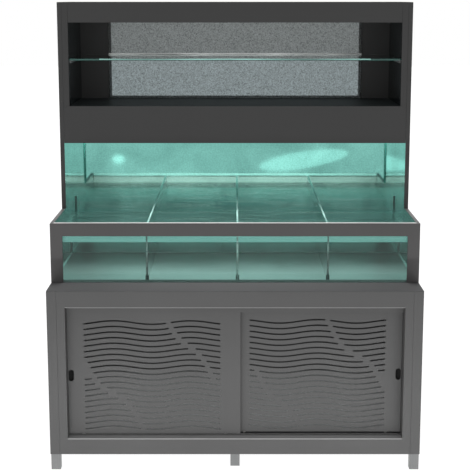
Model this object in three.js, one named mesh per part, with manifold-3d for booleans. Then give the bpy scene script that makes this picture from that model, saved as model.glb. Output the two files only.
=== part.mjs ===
// Display aquarium on a cabinet stand.
// A steel cabinet with two sliding doors carries a low glass tank with four compartments. Behind the
// tank, two side panels hold up a display hood with a glass shelf.
// Units are millimetres and +Z is up. The front faces -Y, and the origin is on the floor, under the
// middle of the cabinet.

import * as THREE from "three";
import { mergeVertices } from "three/addons/utils/BufferGeometryUtils.js";
import Module from "manifold-3d";

const wasm = await Module();
wasm.setup();

// ---------------------------------------------------------------- driving dimensions

// Overall
const WIDTH = 1500;
const DEPTH = 960;
const HEIGHT = 1870;

// Stock and clearances
const TUBE = 38; // side of the square frame tube
const TUBE_WALL = 1.5;
const SKIN = 2; // cladding sheet
const TANK_GLASS = 10;
const PARTITION_GLASS = 8;
const GAP = 0.3; // between neighbours that stay put
const RUNNING_GAP = 0.1; // round a pin that turns in a bore

// Cabinet
const LEG_CLEARANCE = 65; // floor to the body's lower edge
const CABINET_TOP = 745;
const CORNER_RETURN = 39; // how far the side skins wrap round the corners
const JAMB = 72.5; // corner to the door opening
const SILL = 67; // body's lower edge to the door opening
const HEADER = 68; // door opening to the cabinet top
const TUNNEL_PAST_DOORS = 15; // how far the opening's sheet lining runs on behind the doors
const MIDDLE_LEG_SETBACK = 41;

// Sliding doors
const DOOR_OVERLAP = 45;
const DOOR_THICKNESS = 14;
const DOOR_SHEET = 1.5;
const DOOR_SETBACK = 42; // cabinet face to the front door's face
const DOOR_SPACING = 5; // between the two doors
const DOOR_FOOT_GAP = 7; // door to the sill
const DOOR_HEAD_GAP = 4; // door to the header
const DOOR_STOP_GAP = 0.5; // door to the jamb when closed

// Wavy slots in each door, seen from the front on the left door
const SLOT_WIDTH = 6;
const SLOT_PITCH = 23.25;
const SLOT_MARGIN_PULL = 67; // door edge to the slots on the pull's side
const SLOT_MARGIN_FAR = 81;
const SLOT_MARGIN_TOP = 67;
const SLOT_MARGIN_BOTTOM = 25;
const SLOT_STEP = 36; // length of one straight piece of a slot's edge
const SHORTEST_SLOT = 20;
const WAVE_LENGTH = 309;
const WAVE_HEIGHT = 7.3;
const BAND_WIDTH = 17; // uncut band that runs down through the slots
const BAND_LEAN = 11; // sideways run of a band from one row to the next
const BAND_STEEPNESS = 1.7; // rows over which a band swings across
const BANDS = [
  { middleX: 154, middleRow: 5.8, swing: 35, firstRow: 1, lastRow: 11 },
  { middleX: -152, middleRow: 14.3, swing: 50, firstRow: 8, lastRow: 20 },
];

// Finger pulls
const PULL_WIDTH = 21;
const PULL_HEIGHT = 48;
const PULL_BACK_GAP = 4; // cup to the plane of the door's back
const PULL_WALL = 1.5;
const PULL_FROM_EDGE = 14;

// Rollers and tracks
const ROLLER_RADIUS = 10;
const ROLLER_GROOVE_RADIUS = 8;
const ROLLER_GROOVE = 2.6;
const ROLLER_GROOVE_MOUTH = 4;
const ROLLER_PIN_RADIUS = 3;
const ROLLER_FROM_END = 60; // door edge to the roller's axis
const ROLLER_FORK_GAP = 0.8; // roller to each fork plate
const FORK_INSET = 1.2; // door face to the front fork plate
const TRACK_BASE = 1.5;
const TRACK_RIB = 2;
const TRACK_RIB_HEIGHT = 3;
const TRACK_LIP = 2; // thickness of the lip in front of the doors
const TRACK_LIP_GAP = 0.5; // lip to the front door
const TRACK_LIP_DROP = 28; // upper lip, below the header
const GUIDE_FIN = 2;
const GUIDE_FIN_DROP = 10;
const GUIDE_SLOT = 5; // groove in the door's top edge

// Tank
const TANK_SETBACK = 150; // cabinet face to the tank's face
const TANK_HEIGHT = 245;
const SURROUND_RAIL = 52;
const SURROUND_POST = 50;
const SURROUND_LIP = 12;
const PARTITIONS = 3;
const PARTITION_SHIFT = 10; // towards +X
const PARTITION_DROP = 10; // below the tank's rim
const REAR_GLASS_CLEARANCE = 9.4; // rear glass to the uprights behind it

// Upper frame and hood
const HOOD_DEPTH = 441;
const HOOD_HEIGHT = 595;
const PANEL_THICKNESS = 18; // folded side panel
const LINER_CLEARANCE = 1.4; // hood liner to the uprights
const FASCIA_BOTTOM = 158;
const FASCIA_TOP = 85;
const FASCIA_RETURN = 28;
const GLASS_ABOVE_HOOD_BOTTOM = 25;
const SHELF_GLASS = 8;
const SHELF_RISE = 200; // hood floor to the shelf's top
const SHELF_SETBACK = 22;
const SHELF_REST = 12;
const SHELF_REST_WALL = 2;
const WINDOW_MARGIN_SIDE = 184; // outer side to the rear window
const WINDOW_MARGIN_BOTTOM = 12;
const WINDOW_MARGIN_TOP = 30;
const WINDOW_LAP = 12; // pane past the window's edge
const WINDOW_PANE = 6;
const LAMP_FROM_SIDE = 150;
const LAMP_WIDTH = 54;
const LAMP_HEIGHT = 24;
const LAMP_WALL = 2;
const LAMP_RECESS = 6;
const LAMP_SETBACK = 160; // hood front to the lamp
const INLET_WIDTH = 46;
const INLET_HEIGHT = 34;
const INLET_BODY = 22;
const INLET_FLANGE = 3;
const INLET_FLANGE_LAP = 4;
const INLET_SOCKET_DEPTH = 16;
const INLET_WALL = 5;
const INLET_FROM_SIDE = 130;
const INLET_ABOVE_CABINET = 90;

// ---------------------------------------------------------------- places worked out from them

const SIDE = WIDTH / 2;
const FRONT = -DEPTH / 2;
const BACK = DEPTH / 2;
const SIDE_INSIDE = SIDE - SKIN - GAP; // what fits between the side skins
const BACK_INSIDE = BACK - SKIN - GAP;
const POST_X = SIDE_INSIDE - TUBE / 2; // axis of the corner tubes
const POST_Y = BACK_INSIDE - TUBE / 2;
const BETWEEN_POSTS_X = POST_X - TUBE / 2 - GAP;
const BETWEEN_POSTS_Y = POST_Y - TUBE / 2 - GAP;
const SKIN_TOP = CABINET_TOP - SKIN - GAP; // top of what stands under the deck
const OPENING_X = SIDE - JAMB;
const OPENING_BOTTOM = LEG_CLEARANCE + SILL;
const OPENING_TOP = CABINET_TOP - HEADER;
const LOWER_RAIL = OPENING_BOTTOM - SKIN - GAP - TUBE; // underside of the lower rails
const TUNNEL_DEPTH = DOOR_SETBACK + 2 * DOOR_THICKNESS + DOOR_SPACING + TUNNEL_PAST_DOORS;
const DOOR_WIDTH = OPENING_X + DOOR_OVERLAP / 2 - DOOR_STOP_GAP;
const DOOR_BOTTOM = OPENING_BOTTOM + DOOR_FOOT_GAP;
const DOOR_HEIGHT = OPENING_TOP - DOOR_HEAD_GAP - DOOR_BOTTOM;
const FRONT_DOOR_Y = FRONT + DOOR_SETBACK;
const REAR_DOOR_Y = FRONT_DOOR_Y + DOOR_THICKNESS + DOOR_SPACING;
const SLOTS_MIDDLE_Z = DOOR_HEIGHT / 2 + (SLOT_MARGIN_BOTTOM - SLOT_MARGIN_TOP) / 2; // above the door's foot
const PULL_DEPTH = DOOR_THICKNESS - PULL_BACK_GAP;
const ROLLER_WIDTH = DOOR_THICKNESS - 2 * (FORK_INSET + DOOR_SHEET + ROLLER_FORK_GAP);
const TRACK_TOP = OPENING_BOTTOM + GAP + TRACK_BASE;
const ROLLER_AXIS = TRACK_TOP + TRACK_RIB_HEIGHT + GAP + ROLLER_GROOVE_RADIUS - DOOR_BOTTOM;
const TANK_FRONT = FRONT + TANK_SETBACK;
const TANK_TOP = CABINET_TOP + TANK_HEIGHT;
const GLASS_TOP = TANK_HEIGHT - SKIN - GAP; // above the deck, under the surround's lip
const GLASS_FLOOR = GAP + TANK_GLASS + GAP; // above the deck, on the bottom pane
const GLASS_FRONT = SKIN + GAP + TANK_GLASS + GAP; // behind the tank's face, past the front pane
const REAR_GLASS_Y = BETWEEN_POSTS_Y - REAR_GLASS_CLEARANCE - TANK_GLASS;
const GLASS_BACK = REAR_GLASS_Y - TANK_FRONT - GAP;
const HOOD_FRONT = BACK - HOOD_DEPTH;
const HOOD_BOTTOM = HEIGHT - HOOD_HEIGHT;
const TALL_GLASS_TOP = HOOD_BOTTOM + GLASS_ABOVE_HOOD_BOTTOM;
const HOOD_FLOOR = HOOD_BOTTOM + FASCIA_BOTTOM;
const HOOD_SKIN_TOP = HEIGHT - SKIN - GAP;
const PANEL_INSIDE = SIDE - PANEL_THICKNESS - GAP; // what fits between the side panels
const HOOD_OPENING_X = BETWEEN_POSTS_X - LINER_CLEARANCE - SKIN;

// ---------------------------------------------------------------- finishes

function finish(color, roughness, metalness, opacity = 1) {
  return new THREE.MeshStandardMaterial({
    color,
    roughness,
    metalness,
    opacity,
    transparent: opacity < 1,
    flatShading: true,
  });
}

const CABINET_PAINT = finish(0x6a6c6c, 0.35, 0.3);
const TANK_PAINT = finish(0x525454, 0.3, 0.3);
const HOOD_PAINT = finish(0x424444, 0.35, 0.3);
const BARE_STEEL = finish(0x949696, 0.35, 0.9);
const FRAME_STEEL = finish(0x7d8080, 0.5, 0.8);
const ALUMINIUM = finish(0xa8abad, 0.4, 0.9);
const BLACK_PLASTIC = finish(0x0c0c0d, 0.45, 0);
const NYLON = finish(0xd8d8d2, 0.5, 0);
const TINTED_GLASS = finish(0x7fcfc2, 0.05, 0, 0.35);
const CLEAR_GLASS = finish(0xcfe9e2, 0.05, 0, 0.35);
const FROSTED_PANE = finish(0x8b8d8d, 0.6, 0, 0.8);

// ---------------------------------------------------------------- shapes and solids

function solidOf(geometry) {
  const bare = geometry.index ? geometry.toNonIndexed() : geometry.clone();
  bare.deleteAttribute("normal");
  bare.deleteAttribute("uv");
  const merged = mergeVertices(bare, 1e-4);
  const vertProperties = new Float32Array(merged.attributes.position.array);
  const triVerts = new Uint32Array(merged.index.array);
  return new wasm.Manifold(new wasm.Mesh({ numProp: 3, vertProperties, triVerts }));
}

function geometryOf(solid) {
  const mesh = solid.getMesh();
  const geometry = new THREE.BufferGeometry();
  geometry.setAttribute("position", new THREE.BufferAttribute(mesh.vertProperties, 3));
  geometry.setIndex(new THREE.BufferAttribute(mesh.triVerts, 1));
  return geometry;
}

function join(...geometries) {
  return geometryOf(geometries.map(solidOf).reduce((whole, part) => whole.add(part)));
}

function cut(geometry, ...tools) {
  return geometryOf(tools.map(solidOf).reduce((rest, tool) => rest.subtract(tool), solidOf(geometry)));
}

function box([x0, x1], [y0, y1], [z0, z1]) {
  const geometry = new THREE.BoxGeometry(x1 - x0, y1 - y0, z1 - z0);
  return geometry.translate((x0 + x1) / 2, (y0 + y1) / 2, (z0 + z1) / 2);
}

const about = (middle, width) => [middle - width / 2, middle + width / 2];
const across = (half) => [-half, half];

function outline(points) {
  return new THREE.Shape(points.map(([a, b]) => new THREE.Vector2(a, b)));
}

function rectangle([a0, a1], [b0, b1]) {
  return outline([
    [a0, b0],
    [a1, b0],
    [a1, b1],
    [a0, b1],
  ]);
}

// A slot-shaped outline, taller than it is wide, with round ends.
function obround(middleX, middleZ, width, height) {
  const radius = width / 2;
  const straight = height / 2 - radius;
  const shape = new THREE.Shape();
  shape.absarc(middleX, middleZ + straight, radius, 0, Math.PI, false);
  shape.absarc(middleX, middleZ - straight, radius, Math.PI, 2 * Math.PI, false);
  return shape;
}

const ARC_STEPS = 8;

// Extrudes an outline drawn in (x, y) upwards.
function extrudeZ(shape, [z0, z1]) {
  const options = { depth: z1 - z0, bevelEnabled: false, curveSegments: ARC_STEPS };
  return new THREE.ExtrudeGeometry(shape, options).translate(0, 0, z0);
}

// Extrudes an outline drawn in (x, z) from front to back.
function extrudeY(shape, [y0, y1]) {
  return extrudeZ(shape, [0, y1 - y0])
    .rotateX(Math.PI / 2)
    .translate(0, y1, 0);
}

// Extrudes an outline drawn in (y, z) from left to right.
function extrudeX(shape, [x0, x1]) {
  return extrudeZ(shape, [x0, x1])
    .rotateZ(Math.PI / 2)
    .rotateY(Math.PI / 2);
}

// Square frame tube along its own Z, open at both ends.
function squareTube(length) {
  const section = rectangle(across(TUBE / 2), across(TUBE / 2));
  section.holes.push(rectangle(across(TUBE / 2 - TUBE_WALL), across(TUBE / 2 - TUBE_WALL)));
  return extrudeZ(section, [0, length]);
}

const aquarium = new THREE.Group();
const tank = new THREE.Group();
const hood = new THREE.Group();
aquarium.add(tank, hood);
tank.position.set(0, TANK_FRONT, CABINET_TOP);
hood.position.set(0, HOOD_FRONT, HOOD_BOTTOM);

function piece(parent, name, geometry, material) {
  const mesh = new THREE.Mesh(geometry, material);
  mesh.name = name;
  parent.add(mesh);
  return mesh;
}

const SIDES = [
  ["left", -1],
  ["right", 1],
];

// ---------------------------------------------------------------- cabinet frame

// A leg is a square tube on its welded end plate, open at the top.
function leg(name, x, y, top) {
  const bore = TUBE / 2 - TUBE_WALL;
  const tube = box(across(TUBE / 2), across(TUBE / 2), [0, top]);
  const hollow = box(across(bore), across(bore), [TUBE_WALL, top + TUBE_WALL]);
  piece(aquarium, name, cut(tube, hollow), BARE_STEEL).position.set(x, y, 0);
}

function railAlongX(name, y, z, half) {
  const rail = piece(aquarium, name, squareTube(2 * half), FRAME_STEEL);
  rail.rotation.y = Math.PI / 2;
  rail.position.set(-half, y, z + TUBE / 2);
}

function railAlongY(name, x, z, half) {
  const rail = piece(aquarium, name, squareTube(2 * half), FRAME_STEEL);
  rail.rotation.x = -Math.PI / 2;
  rail.position.set(x, -half, z + TUBE / 2);
}

// The lower rails carry the sill and the floor sheet; the upper rails carry the deck.
function cabinetFrame() {
  const middleLegY = FRONT + MIDDLE_LEG_SETBACK + TUBE / 2;
  for (const [end, towards] of [["front", -1], ["rear", 1]]) {
    for (const [side, s] of SIDES) {
      leg(`leg_${end}_${side}`, s * POST_X, towards * POST_Y, SKIN_TOP);
    }
    leg(`leg_${end}_middle`, 0, -towards * middleLegY, LOWER_RAIL - GAP);
    railAlongX(`bottom_rail_${end}`, towards * POST_Y, LOWER_RAIL, BETWEEN_POSTS_X);
    railAlongX(`top_rail_${end}`, towards * POST_Y, SKIN_TOP - TUBE, BETWEEN_POSTS_X);
  }
  for (const [side, s] of SIDES) {
    railAlongY(`bottom_rail_${side}`, s * POST_X, LOWER_RAIL, BETWEEN_POSTS_Y);
    railAlongY(`top_rail_${side}`, s * POST_X, SKIN_TOP - TUBE, BETWEEN_POSTS_Y);
  }
  railAlongY("floor_beam", 0, LOWER_RAIL, BETWEEN_POSTS_Y);
}

// ---------------------------------------------------------------- cabinet skins

// Side sheet, wrapped round both corners.
function cabinetSide(name, s) {
  const wrap = SIDE - CORNER_RETURN;
  const section = outline([
    [s * wrap, FRONT],
    [s * SIDE, FRONT],
    [s * SIDE, BACK],
    [s * wrap, BACK],
    [s * wrap, BACK - SKIN],
    [s * (SIDE - SKIN), BACK - SKIN],
    [s * (SIDE - SKIN), FRONT + SKIN],
    [s * wrap, FRONT + SKIN],
  ]);
  piece(aquarium, name, extrudeZ(section, [LEG_CLEARANCE, SKIN_TOP]), CABINET_PAINT);
}

// Face sheet round the door opening, with a sheet lining that runs back past both doors.
function cabinetFace() {
  const half = SIDE - CORNER_RETURN - GAP;
  const opening = () => rectangle(across(OPENING_X), [OPENING_BOTTOM, OPENING_TOP]);
  const face = rectangle(across(half), [LEG_CLEARANCE, SKIN_TOP]);
  face.holes.push(opening());
  const lining = rectangle(across(OPENING_X + SKIN), [OPENING_BOTTOM - SKIN, OPENING_TOP + SKIN]);
  lining.holes.push(opening());
  const sheet = extrudeY(face, [FRONT, FRONT + SKIN]);
  const tunnel = extrudeY(lining, [FRONT, FRONT + TUNNEL_DEPTH]);
  piece(aquarium, "cabinet_face", join(sheet, tunnel), CABINET_PAINT);
}

// Outline of a floor that reaches the sides but stops short of the two rear posts.
function floorOutline(half, front, back, postFront) {
  return outline([
    [-half, front],
    [half, front],
    [half, postFront],
    [BETWEEN_POSTS_X, postFront],
    [BETWEEN_POSTS_X, back],
    [-BETWEEN_POSTS_X, back],
    [-BETWEEN_POSTS_X, postFront],
    [-half, postFront],
  ]);
}

// Floor sheet behind the door tunnel, on the lower rails and the beam.
function cabinetFloor() {
  const front = FRONT + TUNNEL_DEPTH + GAP;
  const shape = floorOutline(SIDE_INSIDE, front, BACK_INSIDE, BETWEEN_POSTS_Y);
  const sheet = extrudeZ(shape, [OPENING_BOTTOM - SKIN, OPENING_BOTTOM]);
  piece(aquarium, "cabinet_floor", sheet, CABINET_PAINT);
}

function cabinetSkins() {
  for (const [side, s] of SIDES) cabinetSide(`cabinet_side_${side}`, s);
  const backHalf = SIDE - CORNER_RETURN - GAP;
  const back = box(across(backHalf), [BACK - SKIN, BACK], [LEG_CLEARANCE, SKIN_TOP]);
  piece(aquarium, "cabinet_back", back, CABINET_PAINT);
  const deck = box(across(SIDE), [FRONT, BACK], [CABINET_TOP - SKIN, CABINET_TOP]);
  piece(aquarium, "cabinet_deck", deck, CABINET_PAINT);
  cabinetFace();
  cabinetFloor();
}

// ---------------------------------------------------------------- sliding doors

// Where an uncut band crosses a row, and how much of the row it takes.
function bandGap(band, row) {
  const t = (row - band.middleRow) / BAND_STEEPNESS;
  const middle = band.middleX + BAND_LEAN * (row - band.middleRow) + band.swing * Math.tanh(t);
  const perRow = BAND_LEAN + band.swing / BAND_STEEPNESS / Math.cosh(t) ** 2;
  const half = (BAND_WIDTH / 2) * Math.hypot(1, perRow / SLOT_PITCH);
  return [middle - half, middle + half];
}

// The stretches of one row that are cut, as [from, to] pairs.
function slotRuns(row, half) {
  let runs = [[-half, half]];
  for (const band of BANDS) {
    if (row < band.firstRow || row > band.lastRow) continue;
    const [from, to] = bandGap(band, row);
    runs = runs.flatMap(([a, b]) => [
      [a, Math.min(b, from)],
      [Math.max(a, to), b],
    ]);
  }
  return runs.filter(([a, b]) => b - a > SHORTEST_SLOT);
}

// Outline of one wavy slot with round ends, about the wave's line.
function slotOutline(from, to, place) {
  const radius = SLOT_WIDTH / 2;
  const start = from + radius;
  const end = to - radius;
  const steps = Math.max(1, Math.round((end - start) / SLOT_STEP));
  const wave = (u) => -WAVE_HEIGHT * Math.cos((2 * Math.PI * u) / WAVE_LENGTH);
  const points = [];
  for (const [edge, first, last] of [[1, end, start], [-1, start, end]]) {
    for (let i = 0; i <= steps; i += 1) {
      const u = first + ((last - first) * i) / steps;
      points.push([u, wave(u) + edge * radius]);
    }
    for (const lift of [0.5, -0.5]) {
      const u = last - edge * radius * Math.sqrt(1 - lift * lift);
      points.push([u, wave(last) + edge * lift * radius]);
    }
  }
  return outline(points.map(place));
}

// All slots of a door. A turn of -1 is the same pattern turned upside down for the other door.
function slotOutlines(turn) {
  const half = (DOOR_WIDTH - SLOT_MARGIN_PULL - SLOT_MARGIN_FAR) / 2;
  const middleX = (SLOT_MARGIN_PULL - SLOT_MARGIN_FAR) / 2;
  const height = DOOR_HEIGHT - SLOT_MARGIN_TOP - SLOT_MARGIN_BOTTOM;
  const rows = Math.floor(height / SLOT_PITCH) + 1;
  const slots = [];
  for (let row = 1; row <= rows; row += 1) {
    const z = ((rows + 1) / 2 - row) * SLOT_PITCH;
    const place = ([u, v]) => [turn * (middleX + u), SLOTS_MIDDLE_Z + turn * (z + v)];
    for (const [from, to] of slotRuns(row, half)) slots.push(slotOutline(from, to, place));
  }
  return slots;
}

const rollerX = (end) => end * (DOOR_WIDTH / 2 - ROLLER_FROM_END);
const DOOR_MIDDLE_Y = DOOR_THICKNESS / 2;

// Two plates and a pin that carry one roller at the door's foot.
function rollerFork(x) {
  const inner = ROLLER_WIDTH / 2 + ROLLER_FORK_GAP;
  const height = [0, ROLLER_AXIS + 2 * ROLLER_PIN_RADIUS];
  const length = about(x, 2 * ROLLER_RADIUS);
  const frontPlate = box(length, [DOOR_MIDDLE_Y - inner - DOOR_SHEET, DOOR_MIDDLE_Y - inner], height);
  const rearPlate = box(length, [DOOR_MIDDLE_Y + inner, DOOR_MIDDLE_Y + inner + DOOR_SHEET], height);
  const pinLength = 2 * (inner + DOOR_SHEET);
  const pin = new THREE.CylinderGeometry(ROLLER_PIN_RADIUS, ROLLER_PIN_RADIUS, pinLength, 20);
  pin.translate(x, DOOR_MIDDLE_Y, ROLLER_AXIS);
  return [frontPlate, rearPlate, pin];
}

// Door pan: a slotted front sheet with its edges folded back. Its own frame has x = 0 at mid-width,
// y = 0 at the face and z = 0 at the foot. The pull is on the side that turn points away from.
function doorPan(turn) {
  const half = DOOR_WIDTH / 2;
  const face = rectangle(across(half), [0, DOOR_HEIGHT]);
  face.holes.push(...slotOutlines(turn));
  const pullX = -turn * (half - PULL_FROM_EDGE);
  face.holes.push(obround(pullX, SLOTS_MIDDLE_Z, PULL_WIDTH + 2 * GAP, PULL_HEIGHT + 2 * GAP));
  const rim = rectangle(across(half), [0, DOOR_HEIGHT]);
  rim.holes.push(rectangle(across(half - DOOR_SHEET), [DOOR_SHEET, DOOR_HEIGHT - DOOR_SHEET]));
  const sheet = extrudeY(face, [0, DOOR_SHEET]);
  const edges = extrudeY(rim, [0, DOOR_THICKNESS]);
  const groove = box(
    across(half + DOOR_SHEET),
    about(DOOR_MIDDLE_Y, GUIDE_SLOT),
    [DOOR_HEIGHT + DOOR_HEAD_GAP - GUIDE_FIN_DROP - GUIDE_FIN, DOOR_HEIGHT + DOOR_SHEET],
  );
  const wells = [-1, 1].map((end) => box(
    about(rollerX(end), 2 * (ROLLER_RADIUS + ROLLER_FORK_GAP)),
    about(DOOR_MIDDLE_Y, ROLLER_WIDTH + 2 * ROLLER_FORK_GAP),
    [-DOOR_SHEET, 2 * DOOR_SHEET],
  ));
  const forks = [-1, 1].flatMap((end) => rollerFork(rollerX(end)));
  return join(cut(join(sheet, edges), groove, ...wells), ...forks);
}

// Flush finger pull: an open cup with a closed bottom.
function pullCup() {
  const inside = obround(0, 0, PULL_WIDTH - 2 * PULL_WALL, PULL_HEIGHT - 2 * PULL_WALL);
  const cup = extrudeY(obround(0, 0, PULL_WIDTH, PULL_HEIGHT), [0, PULL_DEPTH]);
  return cut(cup, extrudeY(inside, [-PULL_WALL, PULL_DEPTH - PULL_WALL]));
}

// Grooved roller that runs on a track rib. It turns about its own Y axis.
function roller() {
  const bore = ROLLER_PIN_RADIUS + RUNNING_GAP;
  const half = ROLLER_WIDTH / 2;
  const profile = [
    [bore, -half],
    [ROLLER_RADIUS, -half],
    [ROLLER_RADIUS, -ROLLER_GROOVE_MOUTH / 2],
    [ROLLER_GROOVE_RADIUS, -ROLLER_GROOVE / 2],
    [ROLLER_GROOVE_RADIUS, ROLLER_GROOVE / 2],
    [ROLLER_RADIUS, ROLLER_GROOVE_MOUTH / 2],
    [ROLLER_RADIUS, half],
    [bore, half],
    [bore, -half],
  ];
  return new THREE.LatheGeometry(profile.map(([r, y]) => new THREE.Vector2(r, y)), 20);
}

function slidingDoor(side, s, faceY) {
  const door = new THREE.Group();
  aquarium.add(door);
  door.position.set(s * (OPENING_X - DOOR_STOP_GAP - DOOR_WIDTH / 2), faceY, DOOR_BOTTOM);
  piece(door, `door_${side}`, doorPan(-s), CABINET_PAINT);
  const pull = piece(door, `pull_${side}`, pullCup(), BLACK_PLASTIC);
  pull.position.set(s * (DOOR_WIDTH / 2 - PULL_FROM_EDGE), 0, SLOTS_MIDDLE_Z);
  for (const [end, place] of [["outer", s], ["inner", -s]]) {
    const wheel = piece(door, `roller_${side}_${end}`, roller(), NYLON);
    wheel.position.set(rollerX(place), DOOR_MIDDLE_Y, ROLLER_AXIS);
  }
}

// A strip in the door opening with one rib per door and a lip in front of the doors.
function track(name, rib, stripHeight, ribHeight, lipHeight) {
  const length = across(OPENING_X - GAP);
  const lipBack = FRONT_DOOR_Y - TRACK_LIP_GAP;
  const strip = box(length, [lipBack - TRACK_LIP, FRONT + TUNNEL_DEPTH - GAP], stripHeight);
  const lip = box(length, [lipBack - TRACK_LIP, lipBack], lipHeight);
  const ribs = [FRONT_DOOR_Y, REAR_DOOR_Y].map((face) => box(
    length,
    about(face + DOOR_MIDDLE_Y, rib),
    ribHeight,
  ));
  piece(aquarium, name, join(strip, lip, ...ribs), CABINET_PAINT);
}

function slidingDoors() {
  slidingDoor("left", -1, FRONT_DOOR_Y);
  slidingDoor("right", 1, REAR_DOOR_Y);
  const foot = OPENING_BOTTOM + GAP;
  const rib = [foot, TRACK_TOP + TRACK_RIB_HEIGHT];
  track("bottom_track", TRACK_RIB, [foot, TRACK_TOP], rib, [foot, DOOR_BOTTOM]);
  const head = OPENING_TOP - GAP;
  const fin = [OPENING_TOP - GUIDE_FIN_DROP, head];
  track("top_track", GUIDE_FIN, [head - TRACK_BASE, head], fin, [OPENING_TOP - TRACK_LIP_DROP, head]);
}

// ---------------------------------------------------------------- tank

// The tank's own frame has y = 0 at its face and z = 0 on the deck.
function tankPanes() {
  const fullWidth = across(SIDE_INSIDE);
  const run = [GLASS_FRONT, GLASS_BACK];
  const front = box(fullWidth, [SKIN + GAP, SKIN + GAP + TANK_GLASS], [GAP, GLASS_TOP]);
  piece(tank, "tank_front_glass", front, TINTED_GLASS);
  piece(tank, "tank_bottom_glass", box(fullWidth, run, [GAP, GAP + TANK_GLASS]), TINTED_GLASS);
  const backHeight = [GAP, TALL_GLASS_TOP - CABINET_TOP];
  const back = box(fullWidth, about(GLASS_BACK + GAP + TANK_GLASS / 2, TANK_GLASS), backHeight);
  piece(tank, "rear_glass", back, TINTED_GLASS);
  const compartment = (2 * (SIDE_INSIDE - TANK_GLASS)) / (PARTITIONS + 1);
  for (let i = 1; i <= PARTITIONS; i += 1) {
    const x = (i - (PARTITIONS + 1) / 2) * compartment + PARTITION_SHIFT;
    const pane = box(about(0, PARTITION_GLASS), run, [GLASS_FLOOR, TANK_HEIGHT - PARTITION_DROP]);
    piece(tank, `partition_${i}`, pane, TINTED_GLASS).position.x = x;
  }
}

// Side pane: low beside the open tank, and behind the side panel's front edge as tall as the rear pane.
function sideGlass(name, s) {
  const tallFront = HOOD_FRONT - TANK_FRONT + SKIN + GAP;
  const tallTop = TALL_GLASS_TOP - CABINET_TOP;
  const shape = outline([
    [GLASS_FRONT, GLASS_FLOOR],
    [GLASS_BACK, GLASS_FLOOR],
    [GLASS_BACK, tallTop],
    [tallFront, tallTop],
    [tallFront, GLASS_TOP],
    [GLASS_FRONT, GLASS_TOP],
  ]);
  const thickness = about(s * (SIDE_INSIDE - TANK_GLASS / 2), TANK_GLASS);
  piece(tank, name, extrudeX(shape, thickness), TINTED_GLASS);
}

// Front surround: two posts under a rail, with a lip over the glass.
function tankSurroundFront() {
  const windowX = SIDE - SURROUND_POST;
  const windowTop = TANK_HEIGHT - SURROUND_RAIL;
  const shape = outline([
    [-SIDE, GAP],
    [-windowX, GAP],
    [-windowX, windowTop],
    [windowX, windowTop],
    [windowX, GAP],
    [SIDE, GAP],
    [SIDE, TANK_HEIGHT],
    [-SIDE, TANK_HEIGHT],
  ]);
  const lip = box(across(SIDE_INSIDE), [0, SKIN + SURROUND_LIP], [TANK_HEIGHT - SKIN, TANK_HEIGHT]);
  piece(tank, "tank_surround_front", join(extrudeY(shape, [0, SKIN]), lip), TANK_PAINT);
}

// Side surround: a sheet from the tank's face to the side panel, with the same lip.
function tankSurroundSide(name, s) {
  const back = HOOD_FRONT - TANK_FRONT - GAP;
  const sheetX = about(s * (SIDE - SKIN / 2), SKIN);
  const sheet = box(sheetX, [SKIN + GAP, back], [GAP, TANK_HEIGHT]);
  const lip = box(
    about(s * (SIDE - (SKIN + SURROUND_LIP) / 2), SKIN + SURROUND_LIP),
    [SKIN + SURROUND_LIP + GAP, back],
    [TANK_HEIGHT - SKIN, TANK_HEIGHT],
  );
  piece(tank, name, join(sheet, lip), TANK_PAINT);
}

function tankAssembly() {
  tankPanes();
  tankSurroundFront();
  for (const [side, s] of SIDES) {
    sideGlass(`tank_${side}_glass`, s);
    tankSurroundSide(`tank_surround_${side}`, s);
  }
}

// ---------------------------------------------------------------- upper frame

// Side panel: one sheet from the deck to the top. Above the tank's rim its front edge is folded inwards,
// and above the tall panes the fold runs back as an inner wall.
function sidePanel(name, s) {
  const sheet = box(
    about(s * (SIDE - SKIN / 2), SKIN),
    [HOOD_FRONT, BACK],
    [CABINET_TOP + GAP, HOOD_SKIN_TOP],
  );
  const fold = box(
    about(s * (SIDE - PANEL_THICKNESS / 2), PANEL_THICKNESS),
    [HOOD_FRONT, HOOD_FRONT + SKIN],
    [TANK_TOP + GAP, HOOD_SKIN_TOP],
  );
  const innerWall = box(
    about(s * (SIDE - PANEL_THICKNESS + SKIN / 2), SKIN),
    [HOOD_FRONT, REAR_GLASS_Y + TANK_GLASS],
    [TALL_GLASS_TOP + GAP, HOOD_SKIN_TOP],
  );
  piece(aquarium, name, join(sheet, fold, innerWall), HOOD_PAINT);
}

// Sheet across the whole back above the cabinet, with the rear window and the inlet's hole.
function rearPanel() {
  const shape = rectangle(across(SIDE_INSIDE), [CABINET_TOP + GAP, HOOD_SKIN_TOP]);
  const windowHeight = [HOOD_FLOOR + WINDOW_MARGIN_BOTTOM, HEIGHT - WINDOW_MARGIN_TOP];
  shape.holes.push(rectangle(across(SIDE - WINDOW_MARGIN_SIDE), windowHeight));
  const inletX = about(SIDE - INLET_FROM_SIDE, INLET_WIDTH + 2 * GAP);
  const inletZ = about(CABINET_TOP + INLET_ABOVE_CABINET, INLET_HEIGHT + 2 * GAP);
  shape.holes.push(rectangle(inletX, inletZ));
  piece(aquarium, "rear_panel", extrudeY(shape, [BACK - SKIN, BACK]), HOOD_PAINT);
}

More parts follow.
